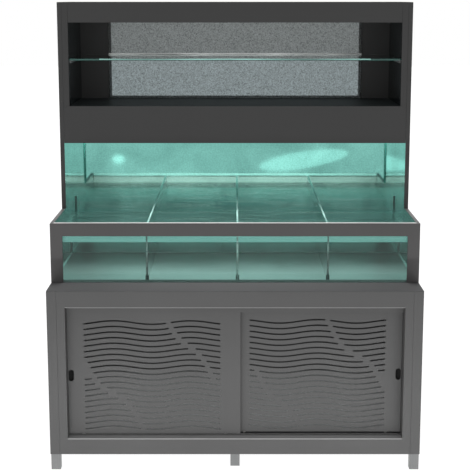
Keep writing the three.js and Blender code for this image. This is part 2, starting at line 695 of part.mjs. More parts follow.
// Power inlet: a flanged body let into the rear panel from inside, with an open socket at the back.
function powerInlet() {
  const body = box(across(INLET_WIDTH / 2), [-INLET_BODY, 0], across(INLET_HEIGHT / 2));
  const flange = box(
    across(INLET_WIDTH / 2 + INLET_FLANGE_LAP),
    [-SKIN - GAP - INLET_FLANGE, -SKIN - GAP],
    across(INLET_HEIGHT / 2 + INLET_FLANGE_LAP),
  );
  const socket = box(
    across(INLET_WIDTH / 2 - INLET_WALL),
    [-INLET_SOCKET_DEPTH, GAP],
    across(INLET_HEIGHT / 2 - INLET_WALL),
  );
  const inlet = piece(aquarium, "power_inlet", cut(join(body, flange), socket), BLACK_PLASTIC);
  inlet.position.set(SIDE - INLET_FROM_SIDE, BACK, CABINET_TOP + INLET_ABOVE_CABINET);
}

function upperFrame() {
  for (const [side, s] of SIDES) {
    sidePanel(`side_panel_${side}`, s);
    const upright = squareTube(HOOD_SKIN_TOP - CABINET_TOP - GAP);
    const post = piece(aquarium, `upright_${side}`, upright, FRAME_STEEL);
    post.position.set(s * POST_X, POST_Y, CABINET_TOP + GAP);
  }
  rearPanel();
  powerInlet();
}

// ---------------------------------------------------------------- hood

// The hood's own frame has y = 0 at its face and z = 0 at its lower edge.
const HOOD_BACK = BACK_INSIDE - HOOD_FRONT;
const LOCAL_FLOOR = FASCIA_BOTTOM;
const LOCAL_TOP = HEIGHT - HOOD_BOTTOM;
const LOCAL_SKIN_TOP = HOOD_SKIN_TOP - HOOD_BOTTOM;

// A face sheet whose lower edge is folded back.
function fascia(name, half, [bottom, top]) {
  const section = outline([
    [0, bottom],
    [SKIN + FASCIA_RETURN, bottom],
    [SKIN + FASCIA_RETURN, bottom + SKIN],
    [SKIN, bottom + SKIN],
    [SKIN, top],
    [0, top],
  ]);
  piece(hood, name, extrudeX(section, across(half)), HOOD_PAINT);
}

// Inner side wall with its face strip.
function hoodLiner(name, s) {
  const section = outline([
    [s * HOOD_OPENING_X, 0],
    [s * PANEL_INSIDE, 0],
    [s * PANEL_INSIDE, SKIN],
    [s * (HOOD_OPENING_X + SKIN), SKIN],
    [s * (HOOD_OPENING_X + SKIN), HOOD_BACK],
    [s * HOOD_OPENING_X, HOOD_BACK],
  ]);
  piece(hood, name, extrudeZ(section, [LOCAL_FLOOR + GAP, LOCAL_SKIN_TOP]), HOOD_PAINT);
}

function hoodSheets() {
  fascia("fascia_bottom", PANEL_INSIDE, [0, LOCAL_FLOOR]);
  fascia("fascia_top", HOOD_OPENING_X - GAP, [LOCAL_TOP - FASCIA_TOP, LOCAL_SKIN_TOP]);
  for (const [side, s] of SIDES) hoodLiner(`hood_liner_${side}`, s);
  const postFront = BETWEEN_POSTS_Y - HOOD_FRONT;
  const floorShape = floorOutline(PANEL_INSIDE, SKIN + GAP, HOOD_BACK, postFront);
  piece(hood, "hood_floor", extrudeZ(floorShape, [LOCAL_FLOOR - SKIN, LOCAL_FLOOR]), HOOD_PAINT);
  const top = box(across(SIDE), [0, HOOD_DEPTH], [LOCAL_TOP - SKIN, LOCAL_TOP]);
  piece(hood, "hood_top", top, HOOD_PAINT);
}

// Sheet under the hood, lying on the bottom fascia's fold, with a cut-out for the lamp.
function hoodUnderside() {
  const back = REAR_GLASS_Y - HOOD_FRONT - GAP;
  const sheet = rectangle(across(PANEL_INSIDE), [SKIN + GAP, back]);
  const lampY = [LAMP_SETBACK - GAP, LAMP_SETBACK + LAMP_WIDTH + GAP];
  sheet.holes.push(rectangle(across(SIDE - LAMP_FROM_SIDE + GAP), lampY));
  piece(hood, "hood_underside", extrudeZ(sheet, [SKIN + GAP, 2 * SKIN + GAP]), HOOD_PAINT);
}

// Lamp: a housing set in the underside's cut-out, with a recess below for its light strip.
function lamp() {
  const half = SIDE - LAMP_FROM_SIDE;
  const depth = [LAMP_SETBACK, LAMP_SETBACK + LAMP_WIDTH];
  const inside = [LAMP_SETBACK + LAMP_WALL, LAMP_SETBACK + LAMP_WIDTH - LAMP_WALL];
  const body = box(across(half), depth, [SKIN, SKIN + LAMP_HEIGHT]);
  const recess = box(across(half - LAMP_WALL), inside, [0, SKIN + LAMP_RECESS]);
  piece(hood, "lamp_housing", cut(body, recess), ALUMINIUM);
}

// Glass shelf on two angles fixed to the liners.
function glassShelf() {
  const top = LOCAL_FLOOR + SHELF_RISE;
  const bottom = top - SHELF_GLASS;
  const back = HOOD_BACK - WINDOW_PANE - GAP;
  const half = HOOD_OPENING_X - GAP;
  const shelf = box(across(half), [SHELF_SETBACK, back], [bottom, top]);
  piece(hood, "glass_shelf", shelf, CLEAR_GLASS);
  const restTop = bottom - GAP;
  for (const [side, s] of SIDES) {
    const section = outline([
      [s * half, restTop],
      [s * (half - SHELF_REST), restTop],
      [s * (half - SHELF_REST), restTop - SHELF_REST_WALL],
      [s * (half - SHELF_REST_WALL), restTop - SHELF_REST_WALL],
      [s * (half - SHELF_REST_WALL), restTop - SHELF_REST],
      [s * half, restTop - SHELF_REST],
    ]);
    const rest = extrudeY(section, [2 * SHELF_SETBACK, back - SHELF_SETBACK]);
    piece(hood, `shelf_rest_${side}`, rest, ALUMINIUM);
  }
}

// Translucent pane that stands on the hood floor in front of the rear window.
function rearWindow() {
  const half = SIDE - WINDOW_MARGIN_SIDE + WINDOW_LAP;
  const height = [LOCAL_FLOOR + GAP, LOCAL_TOP - WINDOW_MARGIN_TOP + WINDOW_LAP];
  const pane = box(across(half), [HOOD_BACK - WINDOW_PANE, HOOD_BACK], height);
  piece(hood, "rear_window", pane, FROSTED_PANE);
}

cabinetFrame();
cabinetSkins();
slidingDoors();
tankAssembly();
upperFrame();
hoodSheets();
hoodUnderside();
lamp();
glassShelf();
rearWindow();

export default aquarium;
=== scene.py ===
# Display aquarium on a cabinet stand: the finished pieces and their materials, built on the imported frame.
# Lengths are in metres. The front faces -Y, and the origin is on the floor under the middle of the cabinet.

import math

import bmesh
import bpy
from mathutils import Matrix, Vector


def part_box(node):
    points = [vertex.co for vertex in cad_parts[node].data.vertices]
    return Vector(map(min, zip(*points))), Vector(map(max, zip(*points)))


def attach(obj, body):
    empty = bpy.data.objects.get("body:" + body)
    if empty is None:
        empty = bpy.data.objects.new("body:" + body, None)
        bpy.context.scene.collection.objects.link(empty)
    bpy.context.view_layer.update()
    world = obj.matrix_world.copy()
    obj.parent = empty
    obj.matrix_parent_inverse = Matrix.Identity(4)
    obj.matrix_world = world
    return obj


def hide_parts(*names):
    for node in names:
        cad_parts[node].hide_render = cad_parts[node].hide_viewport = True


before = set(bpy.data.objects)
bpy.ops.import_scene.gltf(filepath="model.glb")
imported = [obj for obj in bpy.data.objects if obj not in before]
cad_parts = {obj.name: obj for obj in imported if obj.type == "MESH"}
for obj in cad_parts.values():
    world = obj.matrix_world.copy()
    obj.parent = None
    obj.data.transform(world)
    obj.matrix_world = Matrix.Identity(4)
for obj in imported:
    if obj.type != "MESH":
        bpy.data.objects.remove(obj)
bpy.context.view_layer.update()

# ---------------------------------------------------------------------------------------------------
# Camera. It stands straight in front of the cabinet at the height of the hood's top and looks a little
# down, from far enough away that the sides stay nearly parallel.
# ---------------------------------------------------------------------------------------------------

CAMERA_PLACE = (0.0, -5.324, 1.887)
CAMERA_TILT = math.radians(79.3)
CAMERA_LENS = 96.1

camera_data = bpy.data.cameras.new("camera")
camera_data.lens = CAMERA_LENS
camera = bpy.data.objects.new("camera", camera_data)
camera.location = CAMERA_PLACE
camera.rotation_euler = (CAMERA_TILT, 0.0, 0.0)
bpy.context.scene.collection.objects.link(camera)
bpy.context.scene.camera = camera

# ---------------------------------------------------------------------------------------------------
# Studio. A white floor that runs into a white surround, a low light that lifts the cabinet's foot, one
# each inside the cabinet, under the hood and in its display space, and two soft ones the mirror shows.
# ---------------------------------------------------------------------------------------------------

FLOOR_SIZE = 60.0
STUDIO_WHITE = (1.0, 1.0, 1.0, 1.0)


def node_material(name):
    """A new node material: the material, a function that links, its shader, and one that adds a node."""
    material = bpy.data.materials.new(name)
    material.use_nodes = True
    tree = material.node_tree
    shader = tree.nodes["Principled BSDF"]

    def add(kind, **settings):
        node = tree.nodes.new(kind)
        for key, value in settings.items():
            if key in node.inputs:
                node.inputs[key].default_value = value
            else:
                setattr(node, key, value)
        return node

    return material, tree.links.new, shader, add


def mesh_object(name, mesh):
    piece = bpy.data.objects.new(name, mesh)
    bpy.context.scene.collection.objects.link(piece)
    return piece


def area_light(name, place, target, size, power, shape="RECTANGLE", in_glass=False, turn=0.0):
    """A soft light aimed at a target, unseen by the camera, and shown by glass only if asked."""
    data = bpy.data.lights.new(name, "AREA")
    data.shape = shape
    data.size, data.size_y = size
    data.energy = power
    light = bpy.data.objects.new(name, data)
    light.location = place
    light.rotation_euler = (Vector(target) - Vector(place)).to_track_quat("-Z", "Y").to_euler()
    light.rotation_euler.rotate_axis("Z", turn)
    light.visible_camera = False
    light.visible_glossy = light.visible_transmission = in_glass
    bpy.context.scene.collection.objects.link(light)


world = bpy.data.worlds.new("studio")
world.use_nodes = True
world.node_tree.nodes["Background"].inputs["Color"].default_value = STUDIO_WHITE
world.node_tree.nodes["Background"].inputs["Strength"].default_value = 1.0
bpy.context.scene.world = world
bpy.context.scene.view_settings.view_transform = "Standard"

floor_material, link, shader, add = node_material("studio_floor")
shader.inputs["Base Color"].default_value = (0.1, 0.1, 0.1, 1.0)
shader.inputs["Roughness"].default_value = 0.9
shader.inputs["Emission Color"].default_value = STUDIO_WHITE
shader.inputs["Emission Strength"].default_value = 0.98
floor_mesh = bpy.data.meshes.new("studio_floor")
bm = bmesh.new()
bmesh.ops.create_grid(bm, x_segments=1, y_segments=1, size=FLOOR_SIZE / 2)
bm.to_mesh(floor_mesh)
bm.free()
floor_mesh.materials.append(floor_material)
mesh_object("studio_floor", floor_mesh)

area_light("low_light", (0.0, -1.5, 0.02), (0.0, -0.48, 0.25), (3.0, 0.15), 50)
area_light("inside_light", (0.0, 0.0, 0.28), (0.0, 0.0, 0.0), (1.3, 0.8), 3.2)
area_light("tank_light", (0.0, 0.07, 1.262), (0.0, -0.33, 0.95), (1.4, 0.04), 17)
area_light("display_light", (0.0, 0.12, 1.835), (0.0, 0.47, 1.64), (1.1, 0.02), 1.5)
area_light("large_soft", (0.50, -3.0, 0.715), (0.0, 0.4, 1.1), (0.66, 0.12), 0.17, "ELLIPSE", True, 0.17)
area_light("small_soft", (-0.855, -3.0, 0.725), (0.0, 0.4, 1.1), (0.09, 0.06), 0.018, "ELLIPSE", True)

# ---------------------------------------------------------------------------------------------------
# Legs. Bare 38 mm square steel tube with drawn, slightly round corners, brushed lengthwise. Each is
# closed by a welded end plate, and the corner legs run up inside the cabinet.
# ---------------------------------------------------------------------------------------------------

LEGS = [f"leg_{end}_{side}" for end in ("front", "rear") for side in ("left", "middle", "right")]
TUBE_CORNER = 0.0028
LEG_STEEL = (0.235, 0.240, 0.240)
TUBE_END = 0.05


def drawn_steel(name, color, roughness, along):
    """Drawn steel tube: fine lines along its length, with slow changes of tone and gloss."""
    material, link, shader, add = node_material(name)
    place = add("ShaderNodeTexCoord")
    stretch = add("ShaderNodeMapping")
    stretch.inputs["Scale"].default_value = [6.0 if axis == along else 700.0 for axis in "xyz"]
    lines = add("ShaderNodeTexNoise", Scale=1.0, Detail=3.0)
    cloud = add("ShaderNodeTexNoise", Scale=14.0, Detail=4.0)
    tone = add("ShaderNodeValToRGB")
    low, high = tone.color_ramp.elements
    low.position, high.position = 0.25, 0.75
    low.color = (*[c * 0.86 for c in color], 1.0)
    high.color = (*[c * 1.12 for c in color], 1.0)
    mixed = add("ShaderNodeMath", operation="MULTIPLY_ADD")
    mixed.inputs[1].default_value = 0.55
    half = add("ShaderNodeMath", operation="MULTIPLY")
    half.inputs[1].default_value = 0.45
    gloss = add("ShaderNodeMapRange")
    gloss.inputs["To Min"].default_value = roughness - 0.07
    gloss.inputs["To Max"].default_value = roughness + 0.08
    bump = add("ShaderNodeBump", Strength=0.25, Distance=0.0001)
    link(place.outputs["Object"], stretch.inputs["Vector"])
    link(stretch.outputs["Vector"], lines.inputs["Vector"])
    link(place.outputs["Object"], cloud.inputs["Vector"])
    link(cloud.outputs["Fac"], half.inputs[0])
    link(lines.outputs["Fac"], mixed.inputs[0])
    link(half.outputs["Value"], mixed.inputs[2])
    link(mixed.outputs["Value"], tone.inputs["Fac"])
    link(mixed.outputs["Value"], gloss.inputs["Value"])
    link(lines.outputs["Fac"], bump.inputs["Height"])
    link(tone.outputs["Color"], shader.inputs["Base Color"])
    link(gloss.outputs["Result"], shader.inputs["Roughness"])
    link(bump.outputs["Normal"], shader.inputs["Normal"])
    shader.inputs["Metallic"].default_value = 0.9
    return material


def clean_copy(node):
    """A bmesh copy of a CAD node with its loose triangles merged into flat faces."""
    bm = bmesh.new()
    bm.from_mesh(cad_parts[node].data)
    bmesh.ops.remove_doubles(bm, verts=bm.verts, dist=0.00001)
    bmesh.ops.dissolve_limit(bm, angle_limit=math.radians(1.0), verts=bm.verts, edges=bm.edges)
    return bm


def round_off(bm, edges, radius, segments):
    bmesh.ops.bevel(
        bm, geom=edges, offset=radius, offset_type="OFFSET", affect="EDGES",
        segments=segments, profile=0.5, material=-1, clamp_overlap=True,
    )


def finished(name, bm, material, body="root", stands_for=()):
    """Turns a bmesh into a piece with its material, on its body."""
    mesh = bpy.data.meshes.new(name)
    bm.to_mesh(mesh)
    bm.free()
    mesh.materials.append(material)
    piece = mesh_object(name, mesh)
    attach(piece, body)
    if stands_for:
        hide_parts(*stands_for)
    return piece


def tube_corners(bm, low, high):
    """The long outer edges of a square tube that fills a box."""
    def on_two_sides(edge):
        first, second = edge.verts
        sides = 0
        for axis in range(3):
            same = abs(first.co[axis] - second.co[axis]) < 0.00001
            limit = min(abs(first.co[axis] - low[axis]), abs(first.co[axis] - high[axis]))
            sides += same and limit < 0.00001
        return sides == 2

    return [edge for edge in bm.edges if edge.calc_length() > TUBE_END and on_two_sides(edge)]


def rounded_tube(node, material):
    bm = clean_copy(node)
    round_off(bm, tube_corners(bm, *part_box(node)), TUBE_CORNER, 4)
    return finished(f"{node}_tube", bm, material, stands_for=[node])


leg_steel = drawn_steel("leg_steel", LEG_STEEL, 0.42, "z")
for node in LEGS:
    rounded_tube(node, leg_steel)

# ---------------------------------------------------------------------------------------------------
# Frame. Mill-finish square tube welded between the legs: lower rails under the floor, upper rails
# under the deck, a beam along the middle, and two uprights behind the tank that carry the hood.
# ---------------------------------------------------------------------------------------------------

FRAME_STEEL = (0.17, 0.175, 0.175)
RAILS = {
    "x": [f"{level}_rail_{side}" for level in ("bottom", "top") for side in ("front", "rear")],
    "y": [f"{level}_rail_{side}" for level in ("bottom", "top") for side in ("left", "right")]
    + ["floor_beam"],
    "z": ["upright_left", "upright_right"],
}

for along, nodes in RAILS.items():
    tube_steel = drawn_steel(f"mill_steel_{along}", FRAME_STEEL, 0.5, along)
    for node in nodes:
        rounded_tube(node, tube_steel)

# ---------------------------------------------------------------------------------------------------
# Cabinet skins. Two-millimetre sheet steel, folded and powder-coated mid grey: two sides wrapped round
# the corners, a back, the deck, the floor, and the face with its opening lined for the doors.
# ---------------------------------------------------------------------------------------------------

CABINET_GREY = (0.0445, 0.0445, 0.0445)
DECK_GREY = (0.059, 0.059, 0.060)
FOLD_RADIUS = 0.0007
SHARP = math.radians(40)


def powder_coat(name, color, roughness, shine=0.35):
    """Satin powder coat: a fine orange peel, specks, and slow changes of tone and gloss."""
    material, link, shader, add = node_material(name)
    place = add("ShaderNodeTexCoord")
    cloud = add("ShaderNodeTexNoise", Scale=2.2, Detail=3.0)
    specks = add("ShaderNodeTexNoise", Scale=650.0, Detail=1.0)
    peel = add("ShaderNodeTexNoise", Scale=900.0, Detail=2.0)
    tone = add("ShaderNodeValToRGB")
    low, high = tone.color_ramp.elements
    low.position, high.position = 0.3, 0.7
    low.color = (*[c * 0.93 for c in color], 1.0)
    high.color = (*[c * 1.07 for c in color], 1.0)
    mixed = add("ShaderNodeMath", operation="MULTIPLY_ADD")
    mixed.inputs[1].default_value = 0.25
    most = add("ShaderNodeMath", operation="MULTIPLY")
    most.inputs[1].default_value = 0.75
    gloss = add("ShaderNodeMapRange")
    gloss.inputs["To Min"].default_value = roughness - 0.04
    gloss.inputs["To Max"].default_value = roughness + 0.05
    bump = add("ShaderNodeBump", Strength=0.12, Distance=0.0002)
    for texture in (cloud, specks, peel):
        link(place.outputs["Object"], texture.inputs["Vector"])
    link(cloud.outputs["Fac"], most.inputs[0])
    link(specks.outputs["Fac"], mixed.inputs[0])
    link(most.outputs["Value"], mixed.inputs[2])
    link(mixed.outputs["Value"], tone.inputs["Fac"])
    link(cloud.outputs["Fac"], gloss.inputs["Value"])
    link(peel.outputs["Fac"], bump.inputs["Height"])
    link(tone.outputs["Color"], shader.inputs["Base Color"])
    link(gloss.outputs["Result"], shader.inputs["Roughness"])
    link(bump.outputs["Normal"], shader.inputs["Normal"])
    shader.inputs["Specular IOR Level"].default_value = shine
    return material


def folded_sheet(node, material, radius=FOLD_RADIUS):
    """A copy of a sheet-metal node with every arris slightly rounded, as folded and coated sheet is."""
    bm = clean_copy(node)
    sharp = [edge for edge in bm.edges if edge.is_manifold and edge.calc_face_angle() > SHARP]
    round_off(bm, sharp, radius, 2)
    return finished(f"{node}_sheet", bm, material, stands_for=[node])


cabinet_paint = powder_coat("cabinet_paint", CABINET_GREY, 0.45)
deck_paint = powder_coat("deck_paint", DECK_GREY, 0.6, 0.1)
for node in ("cabinet_side_left", "cabinet_side_right", "cabinet_back", "cabinet_face"):
    folded_sheet(node, cabinet_paint)
folded_sheet("cabinet_deck", deck_paint)
for node in ("bottom_track", "top_track"):
    folded_sheet(node, cabinet_paint, 0.0002)

FLOOR_GREY = (0.16, 0.168, 0.166)
floor_paint = powder_coat("cabinet_floor_paint", FLOOR_GREY, 0.5)
folded_sheet("cabinet_floor", floor_paint)

# ---------------------------------------------------------------------------------------------------
# Edge strips. Narrow satin aluminium strips bonded along the opening's sill and, thinner, under its
# header, whose pale tone is painted highlight on those edges, and a lighter grey cover on the sill's
# top behind the sill strip, which is painted light.
# ---------------------------------------------------------------------------------------------------

SILL_STRIP = 0.0034
SILL_STRIP_DEPTH = 0.038
HEADER_STRIP = 0.0018
STRIP_PROUD = 0.0008
# The strips' pale tone is painted highlight on the opening's edges; the sill cover's lighter grey is painted
# light on the sill's top.
STRIP_PAINTED_HIGHLIGHT = (0.34, 0.34, 0.34)
SILL_PAINTED_LIGHT = (0.20, 0.20, 0.20)


def plain_box(bm, low, high):
    """Adds a box between two corners and gives back its faces."""
    low, high = Vector(low), Vector(high)
    made = bmesh.ops.create_cube(bm, size=1.0)
    bmesh.ops.scale(bm, vec=high - low, verts=made["verts"])
    bmesh.ops.translate(bm, vec=(low + high) / 2, verts=made["verts"])
    return list({face for vert in made["verts"] for face in vert.link_faces})


highlight_strip_metal = drawn_steel("highlight_strip_metal", STRIP_PAINTED_HIGHLIGHT, 0.4, "x")
sill_painted_light = powder_coat("sill_painted_light", SILL_PAINTED_LIGHT, 0.5)
face_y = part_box("cabinet_face")[0].y
sill_z, header_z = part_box("bottom_track")[0].z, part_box("top_track")[1].z
half_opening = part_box("bottom_track")[1].x
strips = (
    ("sill_highlight_strip", highlight_strip_metal, (-STRIP_PROUD, 0.0004), (sill_z - SILL_STRIP, sill_z + 0.0004)),
    ("sill_painted_light", sill_painted_light, (0.0006, SILL_STRIP_DEPTH), (sill_z - 0.0002, sill_z + 0.0005)),
    ("header_highlight_strip", highlight_strip_metal, (-STRIP_PROUD, 0.0004), (header_z, header_z + HEADER_STRIP)),
)
for name, material, (front, back), (bottom, top) in strips:
    bm = bmesh.new()
    plain_box(bm, (-half_opening, face_y + front, bottom), (half_opening, face_y + back, top))
    round_off(bm, bm.edges[:], 0.0002, 2)
    finished(name, bm, material)

# ---------------------------------------------------------------------------------------------------
# Doors. Each is a pan of 1.5 mm sheet: the face is cut with rows of wavy slots, left uncut along two
# leaning bands, and its four edges are folded back. The right door's pattern is the left one's turned
# half round. Two forks welded behind the foot hold the rollers.
# ---------------------------------------------------------------------------------------------------

DOOR_SHEET = 0.0015
DOOR_FOLD = 0.0016
SLOT_WIDTH = 0.006
SLOT_PITCH = 0.02325
SLOT_MARGIN_PULL = 0.067
SLOT_MARGIN_FAR = 0.081
SLOT_MARGIN_TOP = 0.067
SLOT_MARGIN_BOTTOM = 0.025
SLOT_STEP = 0.008
SHORTEST_SLOT = 0.020
WAVE_LENGTH = 0.309
WAVE_HEIGHT = 0.0073
BAND_WIDTH = 0.017
BAND_LEAN = 0.011
BAND_STEEPNESS = 1.7
BANDS = [
    {"middle": 0.154, "row": 5.8, "swing": 0.035, "first": 1, "last": 11},
    {"middle": -0.152, "row": 14.3, "swing": 0.050, "first": 8, "last": 20},
]
GUIDE_SLOT = 0.005
ROLLER_FORK_GAP = 0.0008
ROLLER_WELL_GAP = 0.001
FORK_PIN_RADIUS = 0.003
END_POINTS = 5


def band_gap(band, row):
    """The stretch of a row that a band leaves uncut."""
    t = (row - band["row"]) / BAND_STEEPNESS
    middle = band["middle"] + BAND_LEAN * (row - band["row"]) + band["swing"] * math.tanh(t)
    per_row = BAND_LEAN + band["swing"] / BAND_STEEPNESS / math.cosh(t) ** 2
    half = BAND_WIDTH / 2 * math.hypot(1, per_row / SLOT_PITCH)
    return middle - half, middle + half


def slot_runs(row, half):
    """The stretches of a row that are cut."""
    runs = [(-half, half)]
    for band in BANDS:
        if band["first"] <= row <= band["last"]:
            start, end = band_gap(band, row)
            runs = [run for a, b in runs for run in ((a, min(b, start)), (max(a, end), b))]
    return [(a, b) for a, b in runs if b - a > SHORTEST_SLOT]


def slot_outline(start, end):
    """The outline of one wavy slot with round ends, as (along, up) points."""
    radius = SLOT_WIDTH / 2
    first, last = start + radius, end - radius
    steps = max(2, round((last - first) / SLOT_STEP))

    def wave(u):
        return -WAVE_HEIGHT * math.cos(2 * math.pi * u / WAVE_LENGTH)

    upper = [first + (last - first) * i / steps for i in range(steps + 1)]
    points = [(u, wave(u) + radius) for u in upper]
    for i in range(1, END_POINTS):
        turn = math.pi * (0.5 - i / END_POINTS)
        points.append((last + radius * math.cos(turn), wave(last) + radius * math.sin(turn)))
    points += [(u, wave(u) - radius) for u in reversed(upper)]
    for i in range(1, END_POINTS):
        turn = math.pi * (1.5 - i / END_POINTS)
        points.append((first + radius * math.cos(turn), wave(first) + radius * math.sin(turn)))
    return points


def pull_outline(middle_x, middle_z, width, height):
    """The upright round-ended opening for a finger pull."""
    radius = width / 2
    rise = height / 2 - radius
    turns = [math.pi * i / 12 for i in range(13)]
    upper = [(middle_x + radius * math.cos(t), middle_z + rise + radius * math.sin(t)) for t in turns]
    lower = [(middle_x - radius * math.cos(t), middle_z - rise - radius * math.sin(t)) for t in turns]
    return upper + lower


def slotted_face(name, low, high, turn, pull_box):
    """The cut face sheet as a mesh, filled as a flat curve with holes and given the sheet's thickness."""
    width, height = high.x - low.x, high.z - low.z
    middle_x = (low.x + high.x) / 2
    slots_z = (low.z + SLOT_MARGIN_BOTTOM + high.z - SLOT_MARGIN_TOP) / 2
    half = (width - SLOT_MARGIN_PULL - SLOT_MARGIN_FAR) / 2
    shift = (SLOT_MARGIN_PULL - SLOT_MARGIN_FAR) / 2
    rows = int((height - SLOT_MARGIN_TOP - SLOT_MARGIN_BOTTOM) / SLOT_PITCH) + 1
    outlines = [[
        (low.x + DOOR_FOLD, low.z + DOOR_FOLD), (high.x - DOOR_FOLD, low.z + DOOR_FOLD),
        (high.x - DOOR_FOLD, high.z - DOOR_FOLD), (low.x + DOOR_FOLD, high.z - DOOR_FOLD),
    ]]
    for row in range(1, rows + 1):
        z = ((rows + 1) / 2 - row) * SLOT_PITCH
        for start, end in slot_runs(row, half):
            outlines.append([
                (middle_x + turn * (shift + u), slots_z + turn * (z + v))
                for u, v in slot_outline(start, end)
            ])
    pull_low, pull_high = pull_box
    outlines.append(pull_outline(
        (pull_low.x + pull_high.x) / 2, (pull_low.z + pull_high.z) / 2,
        pull_high.x - pull_low.x + 0.0006, pull_high.z - pull_low.z + 0.0006,
    ))
    curve = bpy.data.curves.new(name, "CURVE")
    curve.dimensions = "2D"
    curve.fill_mode = "BOTH"
    curve.extrude = DOOR_SHEET / 2
    for points in outlines:
        spline = curve.splines.new("POLY")
        spline.points.add(len(points) - 1)
        for point, (x, z) in zip(spline.points, points):
            point.co = (x, z, 0.0, 1.0)
        spline.use_cyclic_u = True
    holder = bpy.data.objects.new(name, curve)
    mesh = bpy.data.meshes.new_from_object(holder)
    bpy.data.objects.remove(holder)
    bpy.data.curves.remove(curve)
    upright = Matrix.Translation((0.0, low.y + DOOR_SHEET / 2, 0.0)) @ Matrix.Rotation(math.pi / 2, 4, "X")
    mesh.transform(upright)
    return mesh


def cut_opening(bm, face, planes, inside):
    """Cuts one flat face along planes and takes out the part whose middle is inside."""
    faces = [face]
    for point, normal in planes:
        parts = faces + list({e for f in faces for e in f.edges}) + list({v for f in faces for v in f.verts})
        cut = bmesh.ops.bisect_plane(bm, geom=parts, dist=0.000001, plane_co=point, plane_no=normal)
        faces = [item for item in cut["geom"] if isinstance(item, bmesh.types.BMFace)]
    gone = [part for part in faces if inside(part.calc_center_median())]
    bmesh.ops.delete(bm, geom=gone, context="FACES_ONLY")


def folded_edges(bm, low, high, rollers):
    """The pan's four folded edges, with the groove for the guide and the wells for the rollers."""
    faces = plain_box(bm, low, high)
    back = [face for face in faces if face.normal.y > 0.5]
    bmesh.ops.delete(bm, geom=back, context="FACES_ONLY")
    bm.normal_update()
    folds = [
        edge for edge in bm.edges
        if edge.is_manifold and min(vert.co.y for vert in edge.verts) < low.y + 0.00001
    ]
    round_off(bm, folds, DOOR_FOLD, 3)
    bm.normal_update()
    front = max((face for face in bm.faces if face.normal.y < -0.9), key=lambda face: face.calc_area())
    bmesh.ops.delete(bm, geom=[front], context="FACES_ONLY")
    middle_y = (low.y + high.y) / 2
    half = GUIDE_SLOT / 2
    top = max((face for face in bm.faces if face.normal.z > 0.9), key=lambda face: face.calc_area())
    cut_opening(
        bm, top,
        [((0, middle_y - half, 0), (0, 1, 0)), ((0, middle_y + half, 0), (0, 1, 0))],
        lambda middle: abs(middle.y - middle_y) < half,
    )
    for roller_low, roller_high in rollers:
        foot = max(
            (
                face for face in bm.faces
                if face.normal.z < -0.9 and face.calc_center_median().z < low.z + 0.001
            ),
            key=lambda face: face.calc_area(),
        )
        x0, x1 = roller_low.x - ROLLER_WELL_GAP, roller_high.x + ROLLER_WELL_GAP
        y0, y1 = roller_low.y - ROLLER_FORK_GAP, roller_high.y + ROLLER_FORK_GAP
        cut_opening(
            bm, foot,
            [
                ((x0, 0, 0), (1, 0, 0)), ((x1, 0, 0), (1, 0, 0)),
                ((0, y0, 0), (0, 1, 0)), ((0, y1, 0), (0, 1, 0)),
            ],
            lambda middle: x0 < middle.x < x1 and y0 < middle.y < y1,
        )
    bmesh.ops.solidify(bm, geom=bm.faces[:], thickness=DOOR_SHEET)


def roller_fork(bm, low, high, foot):
    """Two plates and a pin that hold one roller, which fills the box from low to high."""
    radius = (high.z - low.z) / 2
    axis_z = low.z + radius
    y_front, y_back = low.y - ROLLER_FORK_GAP, high.y + ROLLER_FORK_GAP
    for y0, y1 in ((y_front - DOOR_SHEET, y_front), (y_back, y_back + DOOR_SHEET)):
        faces = plain_box(bm, (low.x, y0, foot), (high.x, y1, axis_z + 2 * FORK_PIN_RADIUS))
        top = max(face.calc_center_median().z for face in faces)
        corners = {
            edge for face in faces for edge in face.edges
            if edge.calc_length() < 2 * DOOR_SHEET and edge.verts[0].co.z > top - 0.00001
        }
        round_off(bm, list(corners), 0.004, 4)
    pin = bmesh.ops.create_cone(
        bm, cap_ends=True, segments=24, radius1=FORK_PIN_RADIUS, radius2=FORK_PIN_RADIUS,
        depth=y_back - y_front + 2 * DOOR_SHEET + 0.0006,
        matrix=Matrix.Translation(((low.x + high.x) / 2, (y_front + y_back) / 2, axis_z))
        @ Matrix.Rotation(math.pi / 2, 4, "X"),
    )
    ends = {
        edge for vert in pin["verts"] for edge in vert.link_edges
        if abs(edge.calc_length() - 0.0008) < 0.0002
    }
    round_off(bm, list(ends), 0.0002, 1)


for side, turn in (("left", 1), ("right", -1)):
    node = f"door_{side}"
    low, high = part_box(node)
    rollers = [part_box(f"roller_{side}_{end}") for end in ("outer", "inner")]
    bm = bmesh.new()
    folded_edges(bm, low, high, rollers)
    for roller_low, roller_high in rollers:
        roller_fork(bm, roller_low, roller_high, low.z)
    face_mesh = slotted_face(f"{node}_face", low, high, turn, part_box(f"pull_{side}"))
    bm.from_mesh(face_mesh)
    bpy.data.meshes.remove(face_mesh)
    finished(f"{node}_pan", bm, cabinet_paint, node, [node])

# ---------------------------------------------------------------------------------------------------
# Finger pulls. Black moulded cups with round ends, pressed into the doors near their outer edges, with
# a thin rim flush with the door's face.
# ---------------------------------------------------------------------------------------------------

PULL_RIM = 0.0015
PULL_FLOOR = 0.0015
PULL_SEGMENTS = 48


